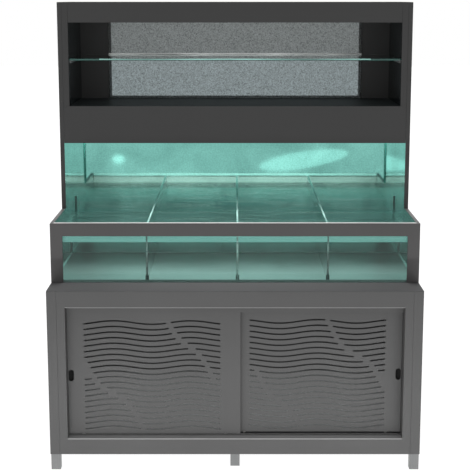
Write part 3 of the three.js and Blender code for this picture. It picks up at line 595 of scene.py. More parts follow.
def moulded_plastic(name, color, roughness):
    """Moulded plastic with a fine spark-eroded grain and faint flow marks."""
    material, link, shader, add = node_material(name)
    place = add("ShaderNodeTexCoord")
    grain = add("ShaderNodeTexNoise", Scale=1600.0, Detail=2.0)
    flow = add("ShaderNodeTexNoise", Scale=60.0, Detail=3.0, Distortion=0.6)
    tone = add("ShaderNodeValToRGB")
    low, high = tone.color_ramp.elements
    low.color = (*[c * 0.8 for c in color], 1.0)
    high.color = (*[c * 1.25 for c in color], 1.0)
    gloss = add("ShaderNodeMapRange")
    gloss.inputs["To Min"].default_value = roughness - 0.08
    gloss.inputs["To Max"].default_value = roughness + 0.08
    bump = add("ShaderNodeBump", Strength=0.3, Distance=0.00005)
    link(place.outputs["Object"], grain.inputs["Vector"])
    link(place.outputs["Object"], flow.inputs["Vector"])
    link(flow.outputs["Fac"], tone.inputs["Fac"])
    link(grain.outputs["Fac"], gloss.inputs["Value"])
    link(grain.outputs["Fac"], bump.inputs["Height"])
    link(tone.outputs["Color"], shader.inputs["Base Color"])
    link(gloss.outputs["Result"], shader.inputs["Roughness"])
    link(bump.outputs["Normal"], shader.inputs["Normal"])
    shader.inputs["Specular IOR Level"].default_value = 0.15
    return material


black_plastic = moulded_plastic("black_plastic", (0.003, 0.003, 0.003), 0.55)


def smooth_curves(piece, angle=30):
    piece.data.shade_smooth()
    piece.data.set_sharp_from_angle(angle=math.radians(angle))


def pull_cup(low, high):
    """An upright round-ended cup that fills the box and is open at its front."""
    width, height, depth = high.x - low.x, high.z - low.z, high.y - low.y
    bm = bmesh.new()
    made = bmesh.ops.create_circle(
        bm, cap_ends=True, segments=PULL_SEGMENTS, radius=width / 2,
        matrix=Matrix.Translation(((low.x + high.x) / 2, low.y, (low.z + high.z) / 2))
        @ Matrix.Rotation(math.pi / 2, 4, "X"),
    )
    middle_z = (low.z + high.z) / 2
    for up in (1, -1):
        end = [vert for vert in made["verts"] if up * (vert.co.z - middle_z) > 0.00001]
        bmesh.ops.translate(bm, vec=(0, 0, up * (height - width) / 2), verts=end)
    front = bm.faces[:]
    walls = bmesh.ops.extrude_face_region(bm, geom=front, use_keep_orig=True)
    moved = [item for item in walls["geom"] if isinstance(item, bmesh.types.BMVert)]
    bmesh.ops.translate(bm, vec=(0, depth, 0), verts=moved)
    bmesh.ops.recalc_face_normals(bm, faces=bm.faces[:])
    mouth = min(bm.faces, key=lambda face: face.calc_center_median().y)
    bmesh.ops.inset_region(bm, faces=[mouth], thickness=PULL_RIM, use_even_offset=True)
    deeper = bmesh.ops.extrude_face_region(bm, geom=[mouth])
    bottom = [item for item in deeper["geom"] if isinstance(item, bmesh.types.BMVert)]
    bmesh.ops.translate(bm, vec=(0, depth - PULL_FLOOR, 0), verts=bottom)
    if mouth.is_valid:
        bmesh.ops.delete(bm, geom=[mouth], context="FACES_ONLY")
    bmesh.ops.recalc_face_normals(bm, faces=bm.faces[:])
    rim = [edge for edge in bm.edges if edge.is_manifold and edge.calc_face_angle() > SHARP]
    round_off(bm, rim, 0.0004, 2)
    return bm


for side in ("left", "right"):
    node = f"pull_{side}"
    pull = finished(
        f"{node}_cup", pull_cup(*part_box(node)), black_plastic, f"door_{side}", [node],
    )
    smooth_curves(pull)

# ---------------------------------------------------------------------------------------------------
# Rollers. Turned white nylon wheels with a grooved tread that runs on the track's rib, dished sides and
# a plain bore on the fork's pin.
# ---------------------------------------------------------------------------------------------------

ROLLER_GROOVE_DEPTH = 0.002
ROLLER_GROOVE_FLOOR = 0.0013
ROLLER_GROOVE_MOUTH = 0.002
ROLLER_BORE = 0.0031
ROLLER_DISH = 0.0009


def turned_nylon(name, color):
    """Turned nylon: concentric tool marks, a slight waxy sheen and a trace of grey dust."""
    material, link, shader, add = node_material(name)
    place = add("ShaderNodeTexCoord")
    marks = add("ShaderNodeTexNoise", Scale=420.0, Detail=2.0)
    dust = add("ShaderNodeTexNoise", Scale=90.0, Detail=4.0)
    tone = add("ShaderNodeValToRGB")
    low, high = tone.color_ramp.elements
    low.position, high.position = 0.35, 0.65
    low.color = (*[c * 0.82 for c in color], 1.0)
    high.color = (*color, 1.0)
    gloss = add("ShaderNodeMapRange")
    gloss.inputs["To Min"].default_value = 0.35
    gloss.inputs["To Max"].default_value = 0.55
    bump = add("ShaderNodeBump", Strength=0.3, Distance=0.0001)
    link(place.outputs["Object"], marks.inputs["Vector"])
    link(place.outputs["Object"], dust.inputs["Vector"])
    link(dust.outputs["Fac"], tone.inputs["Fac"])
    link(marks.outputs["Fac"], gloss.inputs["Value"])
    link(marks.outputs["Fac"], bump.inputs["Height"])
    link(tone.outputs["Color"], shader.inputs["Base Color"])
    link(gloss.outputs["Result"], shader.inputs["Roughness"])
    link(bump.outputs["Normal"], shader.inputs["Normal"])
    return material


roller_nylon = turned_nylon("roller_nylon", (0.70, 0.70, 0.66))


def grooved_roller(low, high):
    """A wheel turned about the Y axis that fills the box."""
    radius, half = (high.z - low.z) / 2, (high.y - low.y) / 2
    middle = (low + high) / 2
    rim, hub = radius - 0.0022, ROLLER_BORE + 0.0014
    side = [
        (ROLLER_BORE, half), (hub, half),
        (hub + 0.0004, half - ROLLER_DISH), (rim - 0.0004, half - ROLLER_DISH),
        (rim, half), (radius - 0.0003, half), (radius, half - 0.0003), (radius, ROLLER_GROOVE_MOUTH),
        (radius - ROLLER_GROOVE_DEPTH, ROLLER_GROOVE_FLOOR),
    ]
    profile = side + [(r, -y) for r, y in reversed(side)]
    bm = bmesh.new()
    verts = [bm.verts.new(middle + Vector((r, y, 0.0))) for r, y in profile]
    edges = [bm.edges.new((verts[i - 1], verts[i])) for i in range(len(verts))]
    bmesh.ops.spin(
        bm, geom=verts + edges, cent=middle, axis=(0, 1, 0), angle=2 * math.pi, steps=64, use_merge=True,
    )
    bmesh.ops.remove_doubles(bm, verts=bm.verts, dist=0.000001)
    bmesh.ops.recalc_face_normals(bm, faces=bm.faces[:])
    return bm


for side in ("left", "right"):
    for end in ("outer", "inner"):
        node = f"roller_{side}_{end}"
        wheel = finished(
            f"{node}_wheel", grooved_roller(*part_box(node)), roller_nylon, node, [node],
        )
        smooth_curves(wheel)

# ---------------------------------------------------------------------------------------------------
# Tank glass. The front pane and the partitions are clear float glass with ground edges, the partitions'
# edges coloured with painted highlight and painted shade. The bottom is painted underneath and darker
# towards the back, which is painted shade under the hood. The rear and side panes are silvered
# blue-green glass, so the tank looks deeper.
# ---------------------------------------------------------------------------------------------------

GLASS_ARRIS = 0.0008
FLOAT_TINT = (0.90, 0.97, 0.955)
MIRROR_TINT = (0.150, 0.40, 0.35)
SIDE_MIRROR_TINT = (0.72, 0.84, 0.81)
# The bottom's two colours are painted light: a lit front, and painted shade at the back under the hood.
BOTTOM_LIT_FRONT = (0.14, 0.215, 0.20)
BOTTOM_SHADED_BACK = (0.007, 0.010, 0.010)
# Two edge tints of one glass: a painted highlight tint and a painted shade tint.
EDGE_HIGHLIGHT_TINT = (0.34, 0.52, 0.48)
EDGE_SHADE_TINT = (0.15, 0.25, 0.23)
PARTITION_CUT = 0.9456


def float_glass(name, tint, smears=0.02, bending=1.5):
    """Clear glass with faint wiping marks in its gloss."""
    material, link, shader, add = node_material(name)
    place = add("ShaderNodeTexCoord")
    marks = add("ShaderNodeTexNoise", Scale=9.0, Detail=6.0, Distortion=1.2)
    gloss = add("ShaderNodeMapRange")
    gloss.inputs["From Min"].default_value = 0.45
    gloss.inputs["From Max"].default_value = 0.75
    gloss.inputs["To Min"].default_value = 0.0
    gloss.inputs["To Max"].default_value = smears
    tone = add("ShaderNodeValToRGB")
    low, high = tone.color_ramp.elements
    low.color = (*[c * 0.97 for c in tint], 1.0)
    high.color = (*tint, 1.0)
    link(place.outputs["Object"], marks.inputs["Vector"])
    link(marks.outputs["Fac"], gloss.inputs["Value"])
    link(marks.outputs["Fac"], tone.inputs["Fac"])
    link(gloss.outputs["Result"], shader.inputs["Roughness"])
    link(tone.outputs["Color"], shader.inputs["Base Color"])
    shader.inputs["Transmission Weight"].default_value = 1.0
    shader.inputs["IOR"].default_value = bending
    return material


def silvered_glass(name, tint):
    """Tinted mirror glass: slightly uneven, with slow clouds of tone and a little haze."""
    material, link, shader, add = node_material(name)
    place = add("ShaderNodeTexCoord")
    cloud = add("ShaderNodeTexNoise", Scale=4.5, Detail=5.0, Distortion=0.8)
    grain = add("ShaderNodeTexNoise", Scale=160.0, Detail=2.0)
    warp = add("ShaderNodeTexNoise", Scale=3.0, Detail=1.0)
    mixed = add("ShaderNodeMath", operation="MULTIPLY_ADD")
    mixed.inputs[1].default_value = 0.35
    most = add("ShaderNodeMath", operation="MULTIPLY")
    most.inputs[1].default_value = 0.65
    tone = add("ShaderNodeValToRGB")
    low, high = tone.color_ramp.elements
    low.position, high.position = 0.33, 0.68
    low.color = (*[c * 0.80 for c in tint], 1.0)
    high.color = (*[min(1.0, c * 1.2 + 0.02) for c in tint], 1.0)
    gloss = add("ShaderNodeMapRange")
    gloss.inputs["To Min"].default_value = 0.01
    gloss.inputs["To Max"].default_value = 0.08
    bump = add("ShaderNodeBump", Strength=0.05, Distance=0.01)
    for texture in (cloud, grain, warp):
        link(place.outputs["Object"], texture.inputs["Vector"])
    link(cloud.outputs["Fac"], most.inputs[0])
    link(grain.outputs["Fac"], mixed.inputs[0])
    link(most.outputs["Value"], mixed.inputs[2])
    link(mixed.outputs["Value"], tone.inputs["Fac"])
    link(cloud.outputs["Fac"], gloss.inputs["Value"])
    link(warp.outputs["Fac"], bump.inputs["Height"])
    link(tone.outputs["Color"], shader.inputs["Base Color"])
    link(gloss.outputs["Result"], shader.inputs["Roughness"])
    link(bump.outputs["Normal"], shader.inputs["Normal"])
    shader.inputs["Metallic"].default_value = 1.0
    return material


def back_painted_glass_with_shade(name, front, back, front_y, back_y):
    """Glass painted on its underside, darker towards the back of the tank as painted shade under the hood.
    """
    material, link, shader, add = node_material(name)
    place = add("ShaderNodeTexCoord")
    split = add("ShaderNodeSeparateXYZ")
    depth = add("ShaderNodeMapRange")
    depth.inputs["From Min"].default_value = front_y
    depth.inputs["From Max"].default_value = back_y
    shade_edge_noise = add("ShaderNodeTexNoise", Scale=3.0, Detail=5.0)
    fine_noise = add("ShaderNodeTexNoise", Scale=260.0, Detail=2.0)
    shifted = add("ShaderNodeMath", operation="MULTIPLY_ADD")
    shifted.inputs[1].default_value = 0.5
    speckled = add("ShaderNodeMath", operation="MULTIPLY_ADD")
    speckled.inputs[1].default_value = 0.9
    centred = add("ShaderNodeMath", operation="SUBTRACT")
    centred.inputs[1].default_value = 0.7
    tone = add("ShaderNodeValToRGB")
    low, high = tone.color_ramp.elements
    low.position, high.position = 0.1, 0.72
    low.color = (*front, 1.0)
    high.color = (*back, 1.0)
    middle = tone.color_ramp.elements.new(0.5)
    middle.color = (*[0.45 * a + 0.55 * b for a, b in zip(front, back)], 1.0)
    gloss = add("ShaderNodeMapRange")
    gloss.inputs["To Min"].default_value = 0.2
    gloss.inputs["To Max"].default_value = 0.5
    link(place.outputs["Object"], split.inputs["Vector"])
    link(place.outputs["Object"], shade_edge_noise.inputs["Vector"])
    link(place.outputs["Object"], fine_noise.inputs["Vector"])
    link(split.outputs["Y"], depth.inputs["Value"])
    link(shade_edge_noise.outputs["Fac"], shifted.inputs[0])
    link(depth.outputs["Result"], shifted.inputs[2])
    link(fine_noise.outputs["Fac"], speckled.inputs[0])
    link(shifted.outputs["Value"], speckled.inputs[2])
    link(speckled.outputs["Value"], centred.inputs[0])
    link(centred.outputs["Value"], tone.inputs["Fac"])
    link(fine_noise.outputs["Fac"], gloss.inputs["Value"])
    link(tone.outputs["Color"], shader.inputs["Base Color"])
    link(gloss.outputs["Result"], shader.inputs["Roughness"])
    return material


def painted_light_edge(name, tint):
    """A glass edge coloured with painted light: the tint given, with painted brighter and darker stretches.
    """
    material, link, shader, add = node_material(name)
    place = add("ShaderNodeTexCoord")
    stretch = add("ShaderNodeMapping")
    stretch.inputs["Scale"].default_value = (1.0, 1.0, 40.0)
    waver = add("ShaderNodeTexNoise", Scale=5.0, Detail=4.0)
    tone = add("ShaderNodeValToRGB")
    low, high = tone.color_ramp.elements
    low.position, high.position = 0.35, 0.62
    low.color = (*[c * 0.35 for c in tint], 1.0)
    high.color = (*tint, 1.0)
    link(place.outputs["Object"], stretch.inputs["Vector"])
    link(stretch.outputs["Vector"], waver.inputs["Vector"])
    link(waver.outputs["Fac"], tone.inputs["Fac"])
    link(tone.outputs["Color"], shader.inputs["Base Color"])
    shader.inputs["Roughness"].default_value = 0.12
    shader.inputs["Transmission Weight"].default_value = 0.35
    return material


clear_glass = float_glass("clear_glass", FLOAT_TINT)
wetted_glass = float_glass("wetted_glass", FLOAT_TINT, 0.02, 1.125)
edge_painted_highlight = painted_light_edge("edge_painted_highlight", EDGE_HIGHLIGHT_TINT)
edge_painted_shade = painted_light_edge("edge_painted_shade", EDGE_SHADE_TINT)
mirror_glass = silvered_glass("mirror_glass", MIRROR_TINT)
side_mirror = silvered_glass("side_mirror", SIDE_MIRROR_TINT)
bottom_low, bottom_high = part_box("tank_bottom_glass")
bottom_glass = back_painted_glass_with_shade("bottom_glass", BOTTOM_LIT_FRONT, BOTTOM_SHADED_BACK, bottom_low.y, bottom_high.y)


def ground_pane(node, material):
    """A pane whose arrises are ground off."""
    bm = clean_copy(node)
    round_off(bm, [edge for edge in bm.edges if edge.calc_face_angle() > SHARP], GLASS_ARRIS, 1)
    return finished(f"{node}_pane", bm, material, stands_for=[node])


front_glass = float_glass("front_glass", FLOAT_TINT, 0.02, 1.2)
ground_pane("tank_front_glass", front_glass).visible_shadow = False
for node in ("partition_1", "partition_2", "partition_3"):
    bm = clean_copy(node)
    round_off(bm, [edge for edge in bm.edges if edge.calc_face_angle() > SHARP], GLASS_ARRIS, 1)
    bmesh.ops.bisect_plane(
        bm, geom=bm.verts[:] + bm.edges[:] + bm.faces[:], dist=0.000001,
        plane_co=(0, 0, PARTITION_CUT), plane_no=(0, 0, 1),
    )
    bm.normal_update()
    for face in bm.faces:
        wet = face.calc_center_median().z < PARTITION_CUT
        top, front = face.normal.z > 0.9, face.normal.y < -0.6
        face.material_index = 2 if top else 3 if wet and front else 1 if wet else 0
    pane = finished(f"{node}_pane", bm, clear_glass, stands_for=[node])
    # Partition tops and the middle partition's wet front edge get painted highlight; the outer partitions'
    # wet fronts get painted shade.
    for material in (wetted_glass, edge_painted_highlight, edge_painted_highlight if node == "partition_2" else edge_painted_shade):
        pane.data.materials.append(material)
    pane.visible_shadow = False
ground_pane("rear_glass", mirror_glass)
for node in ("tank_left_glass", "tank_right_glass"):
    ground_pane(node, side_mirror)
ground_pane("tank_bottom_glass", bottom_glass)

# ---------------------------------------------------------------------------------------------------
# Silicone and blocks. A thin hollow bead, smoothed with a fingertip, closes the back and side corners of
# the tank, and each partition stands on a black rubber block at its front foot.
# ---------------------------------------------------------------------------------------------------

BEAD = 0.005
POST_BEAD_SETBACK = 0.0028
POST_BEAD_HEAD_GAP = 0.001
BLOCK = (0.009, 0.010, 0.019)
FLOOR_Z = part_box("tank_bottom_glass")[1].z
FRONT_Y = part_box("tank_front_glass")[1].y
BACK_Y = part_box("rear_glass")[0].y
LEFT_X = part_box("tank_left_glass")[1].x
RIGHT_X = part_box("tank_right_glass")[0].x
BEAD_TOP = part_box("tank_front_glass")[1].z - 0.002


def smooth_rubber(name, color, roughness):
    """Cured rubber: smooth, with small ripples in its tone and gloss."""
    material, link, shader, add = node_material(name)
    place = add("ShaderNodeTexCoord")
    ripple = add("ShaderNodeTexNoise", Scale=120.0, Detail=3.0)
    tone = add("ShaderNodeValToRGB")
    low, high = tone.color_ramp.elements
    low.color = (*[c * 0.7 for c in color], 1.0)
    high.color = (*[c * 1.3 for c in color], 1.0)
    gloss = add("ShaderNodeMapRange")
    gloss.inputs["To Min"].default_value = roughness - 0.1
    gloss.inputs["To Max"].default_value = roughness + 0.1
    bump = add("ShaderNodeBump", Strength=0.3, Distance=0.0003)
    link(place.outputs["Object"], ripple.inputs["Vector"])
    link(ripple.outputs["Fac"], tone.inputs["Fac"])
    link(ripple.outputs["Fac"], gloss.inputs["Value"])
    link(ripple.outputs["Fac"], bump.inputs["Height"])
    link(tone.outputs["Color"], shader.inputs["Base Color"])
    link(gloss.outputs["Result"], shader.inputs["Roughness"])
    link(bump.outputs["Normal"], shader.inputs["Normal"])
    return material


silicone = smooth_rubber("silicone", (0.10, 0.20, 0.18), 0.3)
black_rubber = smooth_rubber("black_rubber", (0.012, 0.012, 0.012), 0.5)


def bead(bm, start, end, along_a, along_b):
    """A hollow-faced bead from start to end in the corner between directions a and b."""
    start, end, a, b = Vector(start), Vector(end), Vector(along_a), Vector(along_b)
    across = [(0.0, 0.0), (1.0, 0.0), (0.52, 0.14), (0.26, 0.26), (0.14, 0.52), (0.0, 1.0)]
    ring = [bm.verts.new(start + BEAD * (u * a + v * b)) for u, v in across]
    face = bm.faces.new(ring)
    longer = bmesh.ops.extrude_face_region(bm, geom=[face], use_keep_orig=True)
    moved = [item for item in longer["geom"] if isinstance(item, bmesh.types.BMVert)]
    bmesh.ops.translate(bm, vec=end - start, verts=moved)


side_surround_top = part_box("tank_surround_left")[1]
post_back = side_surround_top.y + POST_BEAD_SETBACK
gap_low, gap_high = side_surround_top.z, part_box("hood_underside")[0].z - POST_BEAD_HEAD_GAP
bm = bmesh.new()
for x, inward in ((LEFT_X, 1), (RIGHT_X, -1)):
    bead(bm, (x, FRONT_Y, FLOOR_Z), (x, BACK_Y, FLOOR_Z), (inward, 0, 0), (0, 0, 1))
    bead(bm, (x, BACK_Y, FLOOR_Z), (x, BACK_Y, BEAD_TOP), (inward, 0, 0), (0, -1, 0))
    bead(bm, (x, post_back, gap_low), (x, post_back, gap_high), (inward, 0, 0), (0, 1, 0))
bead(bm, (LEFT_X, BACK_Y, FLOOR_Z), (RIGHT_X, BACK_Y, FLOOR_Z), (0, -1, 0), (0, 0, 1))
bmesh.ops.recalc_face_normals(bm, faces=bm.faces[:])
smooth_curves(finished("silicone_beads", bm, silicone), 50)

for node in ("partition_1", "partition_2", "partition_3"):
    low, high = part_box(node)
    middle_x = (low.x + high.x) / 2
    width, depth, height = BLOCK
    bm = bmesh.new()
    for side in (-1, 1):
        inner = middle_x + side * ((high.x - low.x) / 2 + 0.0002)
        outer = inner + side * (width - (high.x - low.x) / 2) / 2
        plain_box(
            bm, (min(inner, outer), FRONT_Y + 0.0004, FLOOR_Z + 0.0002),
            (max(inner, outer), FRONT_Y + depth, FLOOR_Z + height),
        )
    round_off(bm, bm.edges[:], 0.0006, 2)
    finished(f"{node}_block", bm, black_rubber)

# ---------------------------------------------------------------------------------------------------
# Front edging. A pale extruded strip clipped over the front pane behind the surround's lip: a thick
# polished bead along the top, and a thin flange that hangs down the inside of the pane. The bead and
# the flange's back are pale as painted highlight, seen in the rear mirror, and the flange's teal front
# is painted reflection, the tank's look through the window.
# ---------------------------------------------------------------------------------------------------

EDGING_BEAD = (0.0085, 0.0125)
EDGING_RISE = 0.0010
EDGING_FLANGE = (0.0012, 0.0776)
# These colours are painted light: the pale pink and the near white are painted highlight, the teal is
# painted reflection.
EDGING_PAINTED_HIGHLIGHT = (0.88, 0.62, 0.61)
BEAD_PAINTED_HIGHLIGHT = (0.93, 0.86, 0.85)
FLANGE_PAINTED_REFLECTION = (0.15, 0.36, 0.325)


def painted_light_plastic(name, color):
    """Rigid plastic with fine die lines and a soft shine, in a colour given as painted light."""
    material, link, shader, add = node_material(name)
    place = add("ShaderNodeTexCoord")
    stretch = add("ShaderNodeMapping")
    stretch.inputs["Scale"].default_value = (3.0, 500.0, 500.0)
    lines = add("ShaderNodeTexNoise", Scale=1.0, Detail=3.0)
    tone = add("ShaderNodeValToRGB")
    low, high = tone.color_ramp.elements
    low.position, high.position = 0.3, 0.65
    low.color = (*[c * 0.75 for c in color], 1.0)
    high.color = (*color, 1.0)
    bump = add("ShaderNodeBump", Strength=0.2, Distance=0.0001)
    link(place.outputs["Object"], stretch.inputs["Vector"])
    link(stretch.outputs["Vector"], lines.inputs["Vector"])
    link(lines.outputs["Fac"], tone.inputs["Fac"])
    link(lines.outputs["Fac"], bump.inputs["Height"])
    link(tone.outputs["Color"], shader.inputs["Base Color"])
    link(bump.outputs["Normal"], shader.inputs["Normal"])
    shader.inputs["Roughness"].default_value = 0.25
    return material


edging_highlight_plastic = painted_light_plastic("edging_highlight_plastic", EDGING_PAINTED_HIGHLIGHT)
bead_highlight_plastic = painted_light_plastic("bead_highlight_plastic", BEAD_PAINTED_HIGHLIGHT)
flange_reflection_plastic = painted_light_plastic("flange_reflection_plastic", FLANGE_PAINTED_REFLECTION)
surround_low, surround_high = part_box("tank_surround_front")
bead_y = surround_low.y + 0.0146
edging_top = surround_high.z - 0.0004
bm = bmesh.new()
plain_box(
    bm, (LEFT_X + 0.001, bead_y, edging_top + EDGING_RISE - EDGING_BEAD[1]),
    (RIGHT_X - 0.001, bead_y + EDGING_BEAD[0], edging_top + EDGING_RISE),
)
round_off(bm, bm.edges[:], 0.0012, 3)
finished("edging_bead", bm, bead_highlight_plastic)
bm = bmesh.new()
flange_y = FRONT_Y + 0.0006
plain_box(
    bm, (LEFT_X + 0.001, flange_y, edging_top - EDGING_FLANGE[1]),
    (RIGHT_X - 0.001, flange_y + EDGING_FLANGE[0], edging_top - EDGING_BEAD[1] - 0.0002),
)
bm.normal_update()
# The flange's front face gets the painted reflection, its other faces the painted highlight.
for face in bm.faces:
    face.material_index = int(face.normal.y < -0.9)
flange = finished("edging_flange", bm, edging_highlight_plastic)
flange.data.materials.append(flange_reflection_plastic)

# ---------------------------------------------------------------------------------------------------
# Water. The tank is filled to a few centimetres below the rim. The surface is nearly still, with slow
# ripples from the pump, and the body wets the glass, so it has no gap to the panes it lies against.
# ---------------------------------------------------------------------------------------------------

WATER_TOP = PARTITION_CUT
WATER_LAP = 0.0005
WATER_TINT = (0.80, 0.93, 0.915)


def still_water(name, tint, ripple):
    """Water with a faint blue-green tint; its surface has long, low ripples."""
    material, link, shader, add = node_material(name)
    place = add("ShaderNodeTexCoord")
    stretch = add("ShaderNodeMapping")
    stretch.inputs["Scale"].default_value = (2.2, 5.0, 1.0)
    waves = add("ShaderNodeTexNoise", Scale=1.6, Detail=9.0, Roughness=0.62, Distortion=0.7)
    motes = add("ShaderNodeTexNoise", Scale=40.0, Detail=2.0)
    tone = add("ShaderNodeValToRGB")
    low, high = tone.color_ramp.elements
    low.color = (*[c * 0.97 for c in tint], 1.0)
    high.color = (*tint, 1.0)
    bump = add("ShaderNodeBump", Strength=ripple, Distance=0.02)
    link(place.outputs["Object"], stretch.inputs["Vector"])
    link(stretch.outputs["Vector"], waves.inputs["Vector"])
    link(place.outputs["Object"], motes.inputs["Vector"])
    link(motes.outputs["Fac"], tone.inputs["Fac"])
    link(waves.outputs["Fac"], bump.inputs["Height"])
    link(tone.outputs["Color"], shader.inputs["Base Color"])
    if ripple:
        link(bump.outputs["Normal"], shader.inputs["Normal"])
    shader.inputs["Roughness"].default_value = 0.0
    shader.inputs["Transmission Weight"].default_value = 1.0
    shader.inputs["IOR"].default_value = 1.333
    return material


water_surface = still_water("water_surface", WATER_TINT, 0.35)
water_body = still_water("water_body", WATER_TINT, 0.0)
bm = bmesh.new()
plain_box(
    bm, (LEFT_X - WATER_LAP, FRONT_Y + WATER_LAP, FLOOR_Z - WATER_LAP),
    (RIGHT_X + WATER_LAP, BACK_Y + WATER_LAP, WATER_TOP),
)
bm.normal_update()
for face in bm.faces:
    face.material_index = int(face.normal.z < 0.95)
water = finished("water", bm, water_surface)
water.data.materials.append(water_body)
water.visible_shadow = False

# ---------------------------------------------------------------------------------------------------
# Tank surround. Folded sheet in a darker satin grey round the tank's front and sides, with a lip turned
# in over the glass.
# ---------------------------------------------------------------------------------------------------

TANK_GREY = (0.041, 0.040, 0.040)

tank_paint = powder_coat("tank_paint", TANK_GREY, 0.42)
for side in ("front", "left", "right"):
    folded_sheet(f"tank_surround_{side}", tank_paint)

# ---------------------------------------------------------------------------------------------------
# Hood and side panels. Folded sheet in the darkest grey: two side panels and a rear panel that rise
# from the deck, two fascias, a top, an underside, and a glossy lined display space.
# ---------------------------------------------------------------------------------------------------

HOOD_GREY = (0.0205, 0.0205, 0.0205)
LINING_BLACK = (0.007, 0.009, 0.0095)
FLOOR_LINING = (0.018, 0.0215, 0.022)
LINER_FOLD = 0.0035

hood_paint = powder_coat("hood_paint", HOOD_GREY, 0.45)
lining_paint = powder_coat("lining_paint", LINING_BLACK, 0.25, 0.2)
for node in ("side_panel_left", "side_panel_right", "rear_panel", "fascia_bottom", "fascia_top", "hood_top"):
    folded_sheet(node, hood_paint)
folded_sheet("hood_underside", hood_paint)
for node in ("hood_liner_left", "hood_liner_right"):
    liner = folded_sheet(node, lining_paint)
    liner.data.materials.append(hood_paint)
    front_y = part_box(node)[0].y
    for face in liner.data.polygons:
        face.material_index = int(face.center.y < front_y + LINER_FOLD)
floor_lining = powder_coat("floor_lining", FLOOR_LINING, 0.5, 0.05)
folded_sheet("hood_floor", floor_lining)

# ---------------------------------------------------------------------------------------------------
# Rivets. Domed steel rivets, painted over, hold the cabinet's back and the rear panel to the frame.
# ---------------------------------------------------------------------------------------------------

RIVET_RADIUS = 0.004
RIVET_PITCH = 0.180
RIVET_INSET = 0.020


def rivet_line(bm, start, end):
    """Domed heads at an even pitch on the back face, from start to end."""
    start, end = Vector(start), Vector(end)
    count = max(1, round((end - start).length / RIVET_PITCH))
    for i in range(count + 1):
        place = start.lerp(end, i / count)
        head = bmesh.ops.create_uvsphere(
            bm, u_segments=12, v_segments=6, radius=RIVET_RADIUS,
            matrix=Matrix.Translation(place) @ Matrix.Diagonal((1.0, 0.35, 1.0, 1.0)),
        )
        inner = [vert for vert in head["verts"] if vert.co.y < place.y - 0.0001]
        bmesh.ops.delete(bm, geom=inner, context="VERTS")


for node, material, slot in (
    ("cabinet_back", cabinet_paint, "cabinet_paint"),
    ("rear_panel", hood_paint, "hood_paint"),
):
    low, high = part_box(node)
    x0, x1 = low.x + RIVET_INSET, high.x - RIVET_INSET
    z0, z1 = low.z + RIVET_INSET, high.z - RIVET_INSET
    bm = bmesh.new()
    for x in (x0, x1):
        rivet_line(bm, (x, high.y, z0), (x, high.y, z1))
    for z in (z0, z1):
        rivet_line(bm, (x0 + RIVET_PITCH, high.y, z), (x1 - RIVET_PITCH, high.y, z))
    smooth_curves(finished(f"{node}_rivets", bm, material))

# ---------------------------------------------------------------------------------------------------
# Power inlet. A moulded black body in the rear panel with an open socket, three flat contacts standing
# in it, and a rounded flange inside the panel.
# ---------------------------------------------------------------------------------------------------

CONTACT = (0.004, 0.010, 0.0012)
CONTACT_SPREAD = 0.009


def extruded_aluminium(name, color, along):
    """Satin anodised extrusion: die lines along its length and a soft, even gloss."""
    return drawn_steel(name, color, 0.38, along)


contact_metal = extruded_aluminium("contact_metal", (0.55, 0.53, 0.48), "y")
bm = clean_copy("power_inlet")
sharp = [edge for edge in bm.edges if edge.is_manifold and edge.calc_face_angle() > SHARP]
round_off(bm, sharp, 0.0008, 3)
finished("power_inlet_body", bm, black_plastic, stands_for=["power_inlet"])
low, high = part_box("power_inlet")
middle = (low + high) / 2
bm = bmesh.new()
for x, z in ((-CONTACT_SPREAD, -0.002), (0.0, 0.003), (CONTACT_SPREAD, -0.002)):
    width, length, thickness = CONTACT
    place = Vector((middle.x + x, high.y - 0.016, middle.z + z))
    plain_box(
        bm, place - Vector((thickness / 2, 0, width / 2)),
        place + Vector((thickness / 2, length, width / 2)),
    )
round_off(bm, [edge for edge in bm.edges], 0.0003, 2)
finished("power_inlet_contacts", bm, contact_metal)

# ---------------------------------------------------------------------------------------------------
# Lamp. A satin aluminium tray let into the hood's underside, closed by a ribbed opal acrylic strip.
# ---------------------------------------------------------------------------------------------------

LENS_CLEARANCE = 0.0006
LENS_THICKNESS = 0.003
LAMP_WALL = 0.002
LAMP_RECESS = 0.006

lamp_aluminium = extruded_aluminium("lamp_aluminium", (0.42, 0.43, 0.44), "x")
rest_aluminium = extruded_aluminium("rest_aluminium", (0.30, 0.31, 0.31), "y")


def opal_acrylic(name, color, ribs):
    """Opal acrylic strip with fine ribs pressed along it."""
    material, link, shader, add = node_material(name)
    place = add("ShaderNodeTexCoord")
    rib = add("ShaderNodeTexWave", Scale=ribs, Distortion=0.0)
    rib.bands_direction = "Y"
    cloud = add("ShaderNodeTexNoise", Scale=20.0, Detail=3.0)
    tone = add("ShaderNodeValToRGB")
    low, high = tone.color_ramp.elements
    low.color = (*[c * 0.93 for c in color], 1.0)
    high.color = (*color, 1.0)
    bump = add("ShaderNodeBump", Strength=0.5, Distance=0.0004)
    link(place.outputs["Object"], rib.inputs["Vector"])
    link(place.outputs["Object"], cloud.inputs["Vector"])
    link(cloud.outputs["Fac"], tone.inputs["Fac"])
    link(rib.outputs["Fac"], bump.inputs["Height"])
    link(tone.outputs["Color"], shader.inputs["Base Color"])
    link(bump.outputs["Normal"], shader.inputs["Normal"])
    shader.inputs["Roughness"].default_value = 0.35
    shader.inputs["Transmission Weight"].default_value = 0.3
    return material


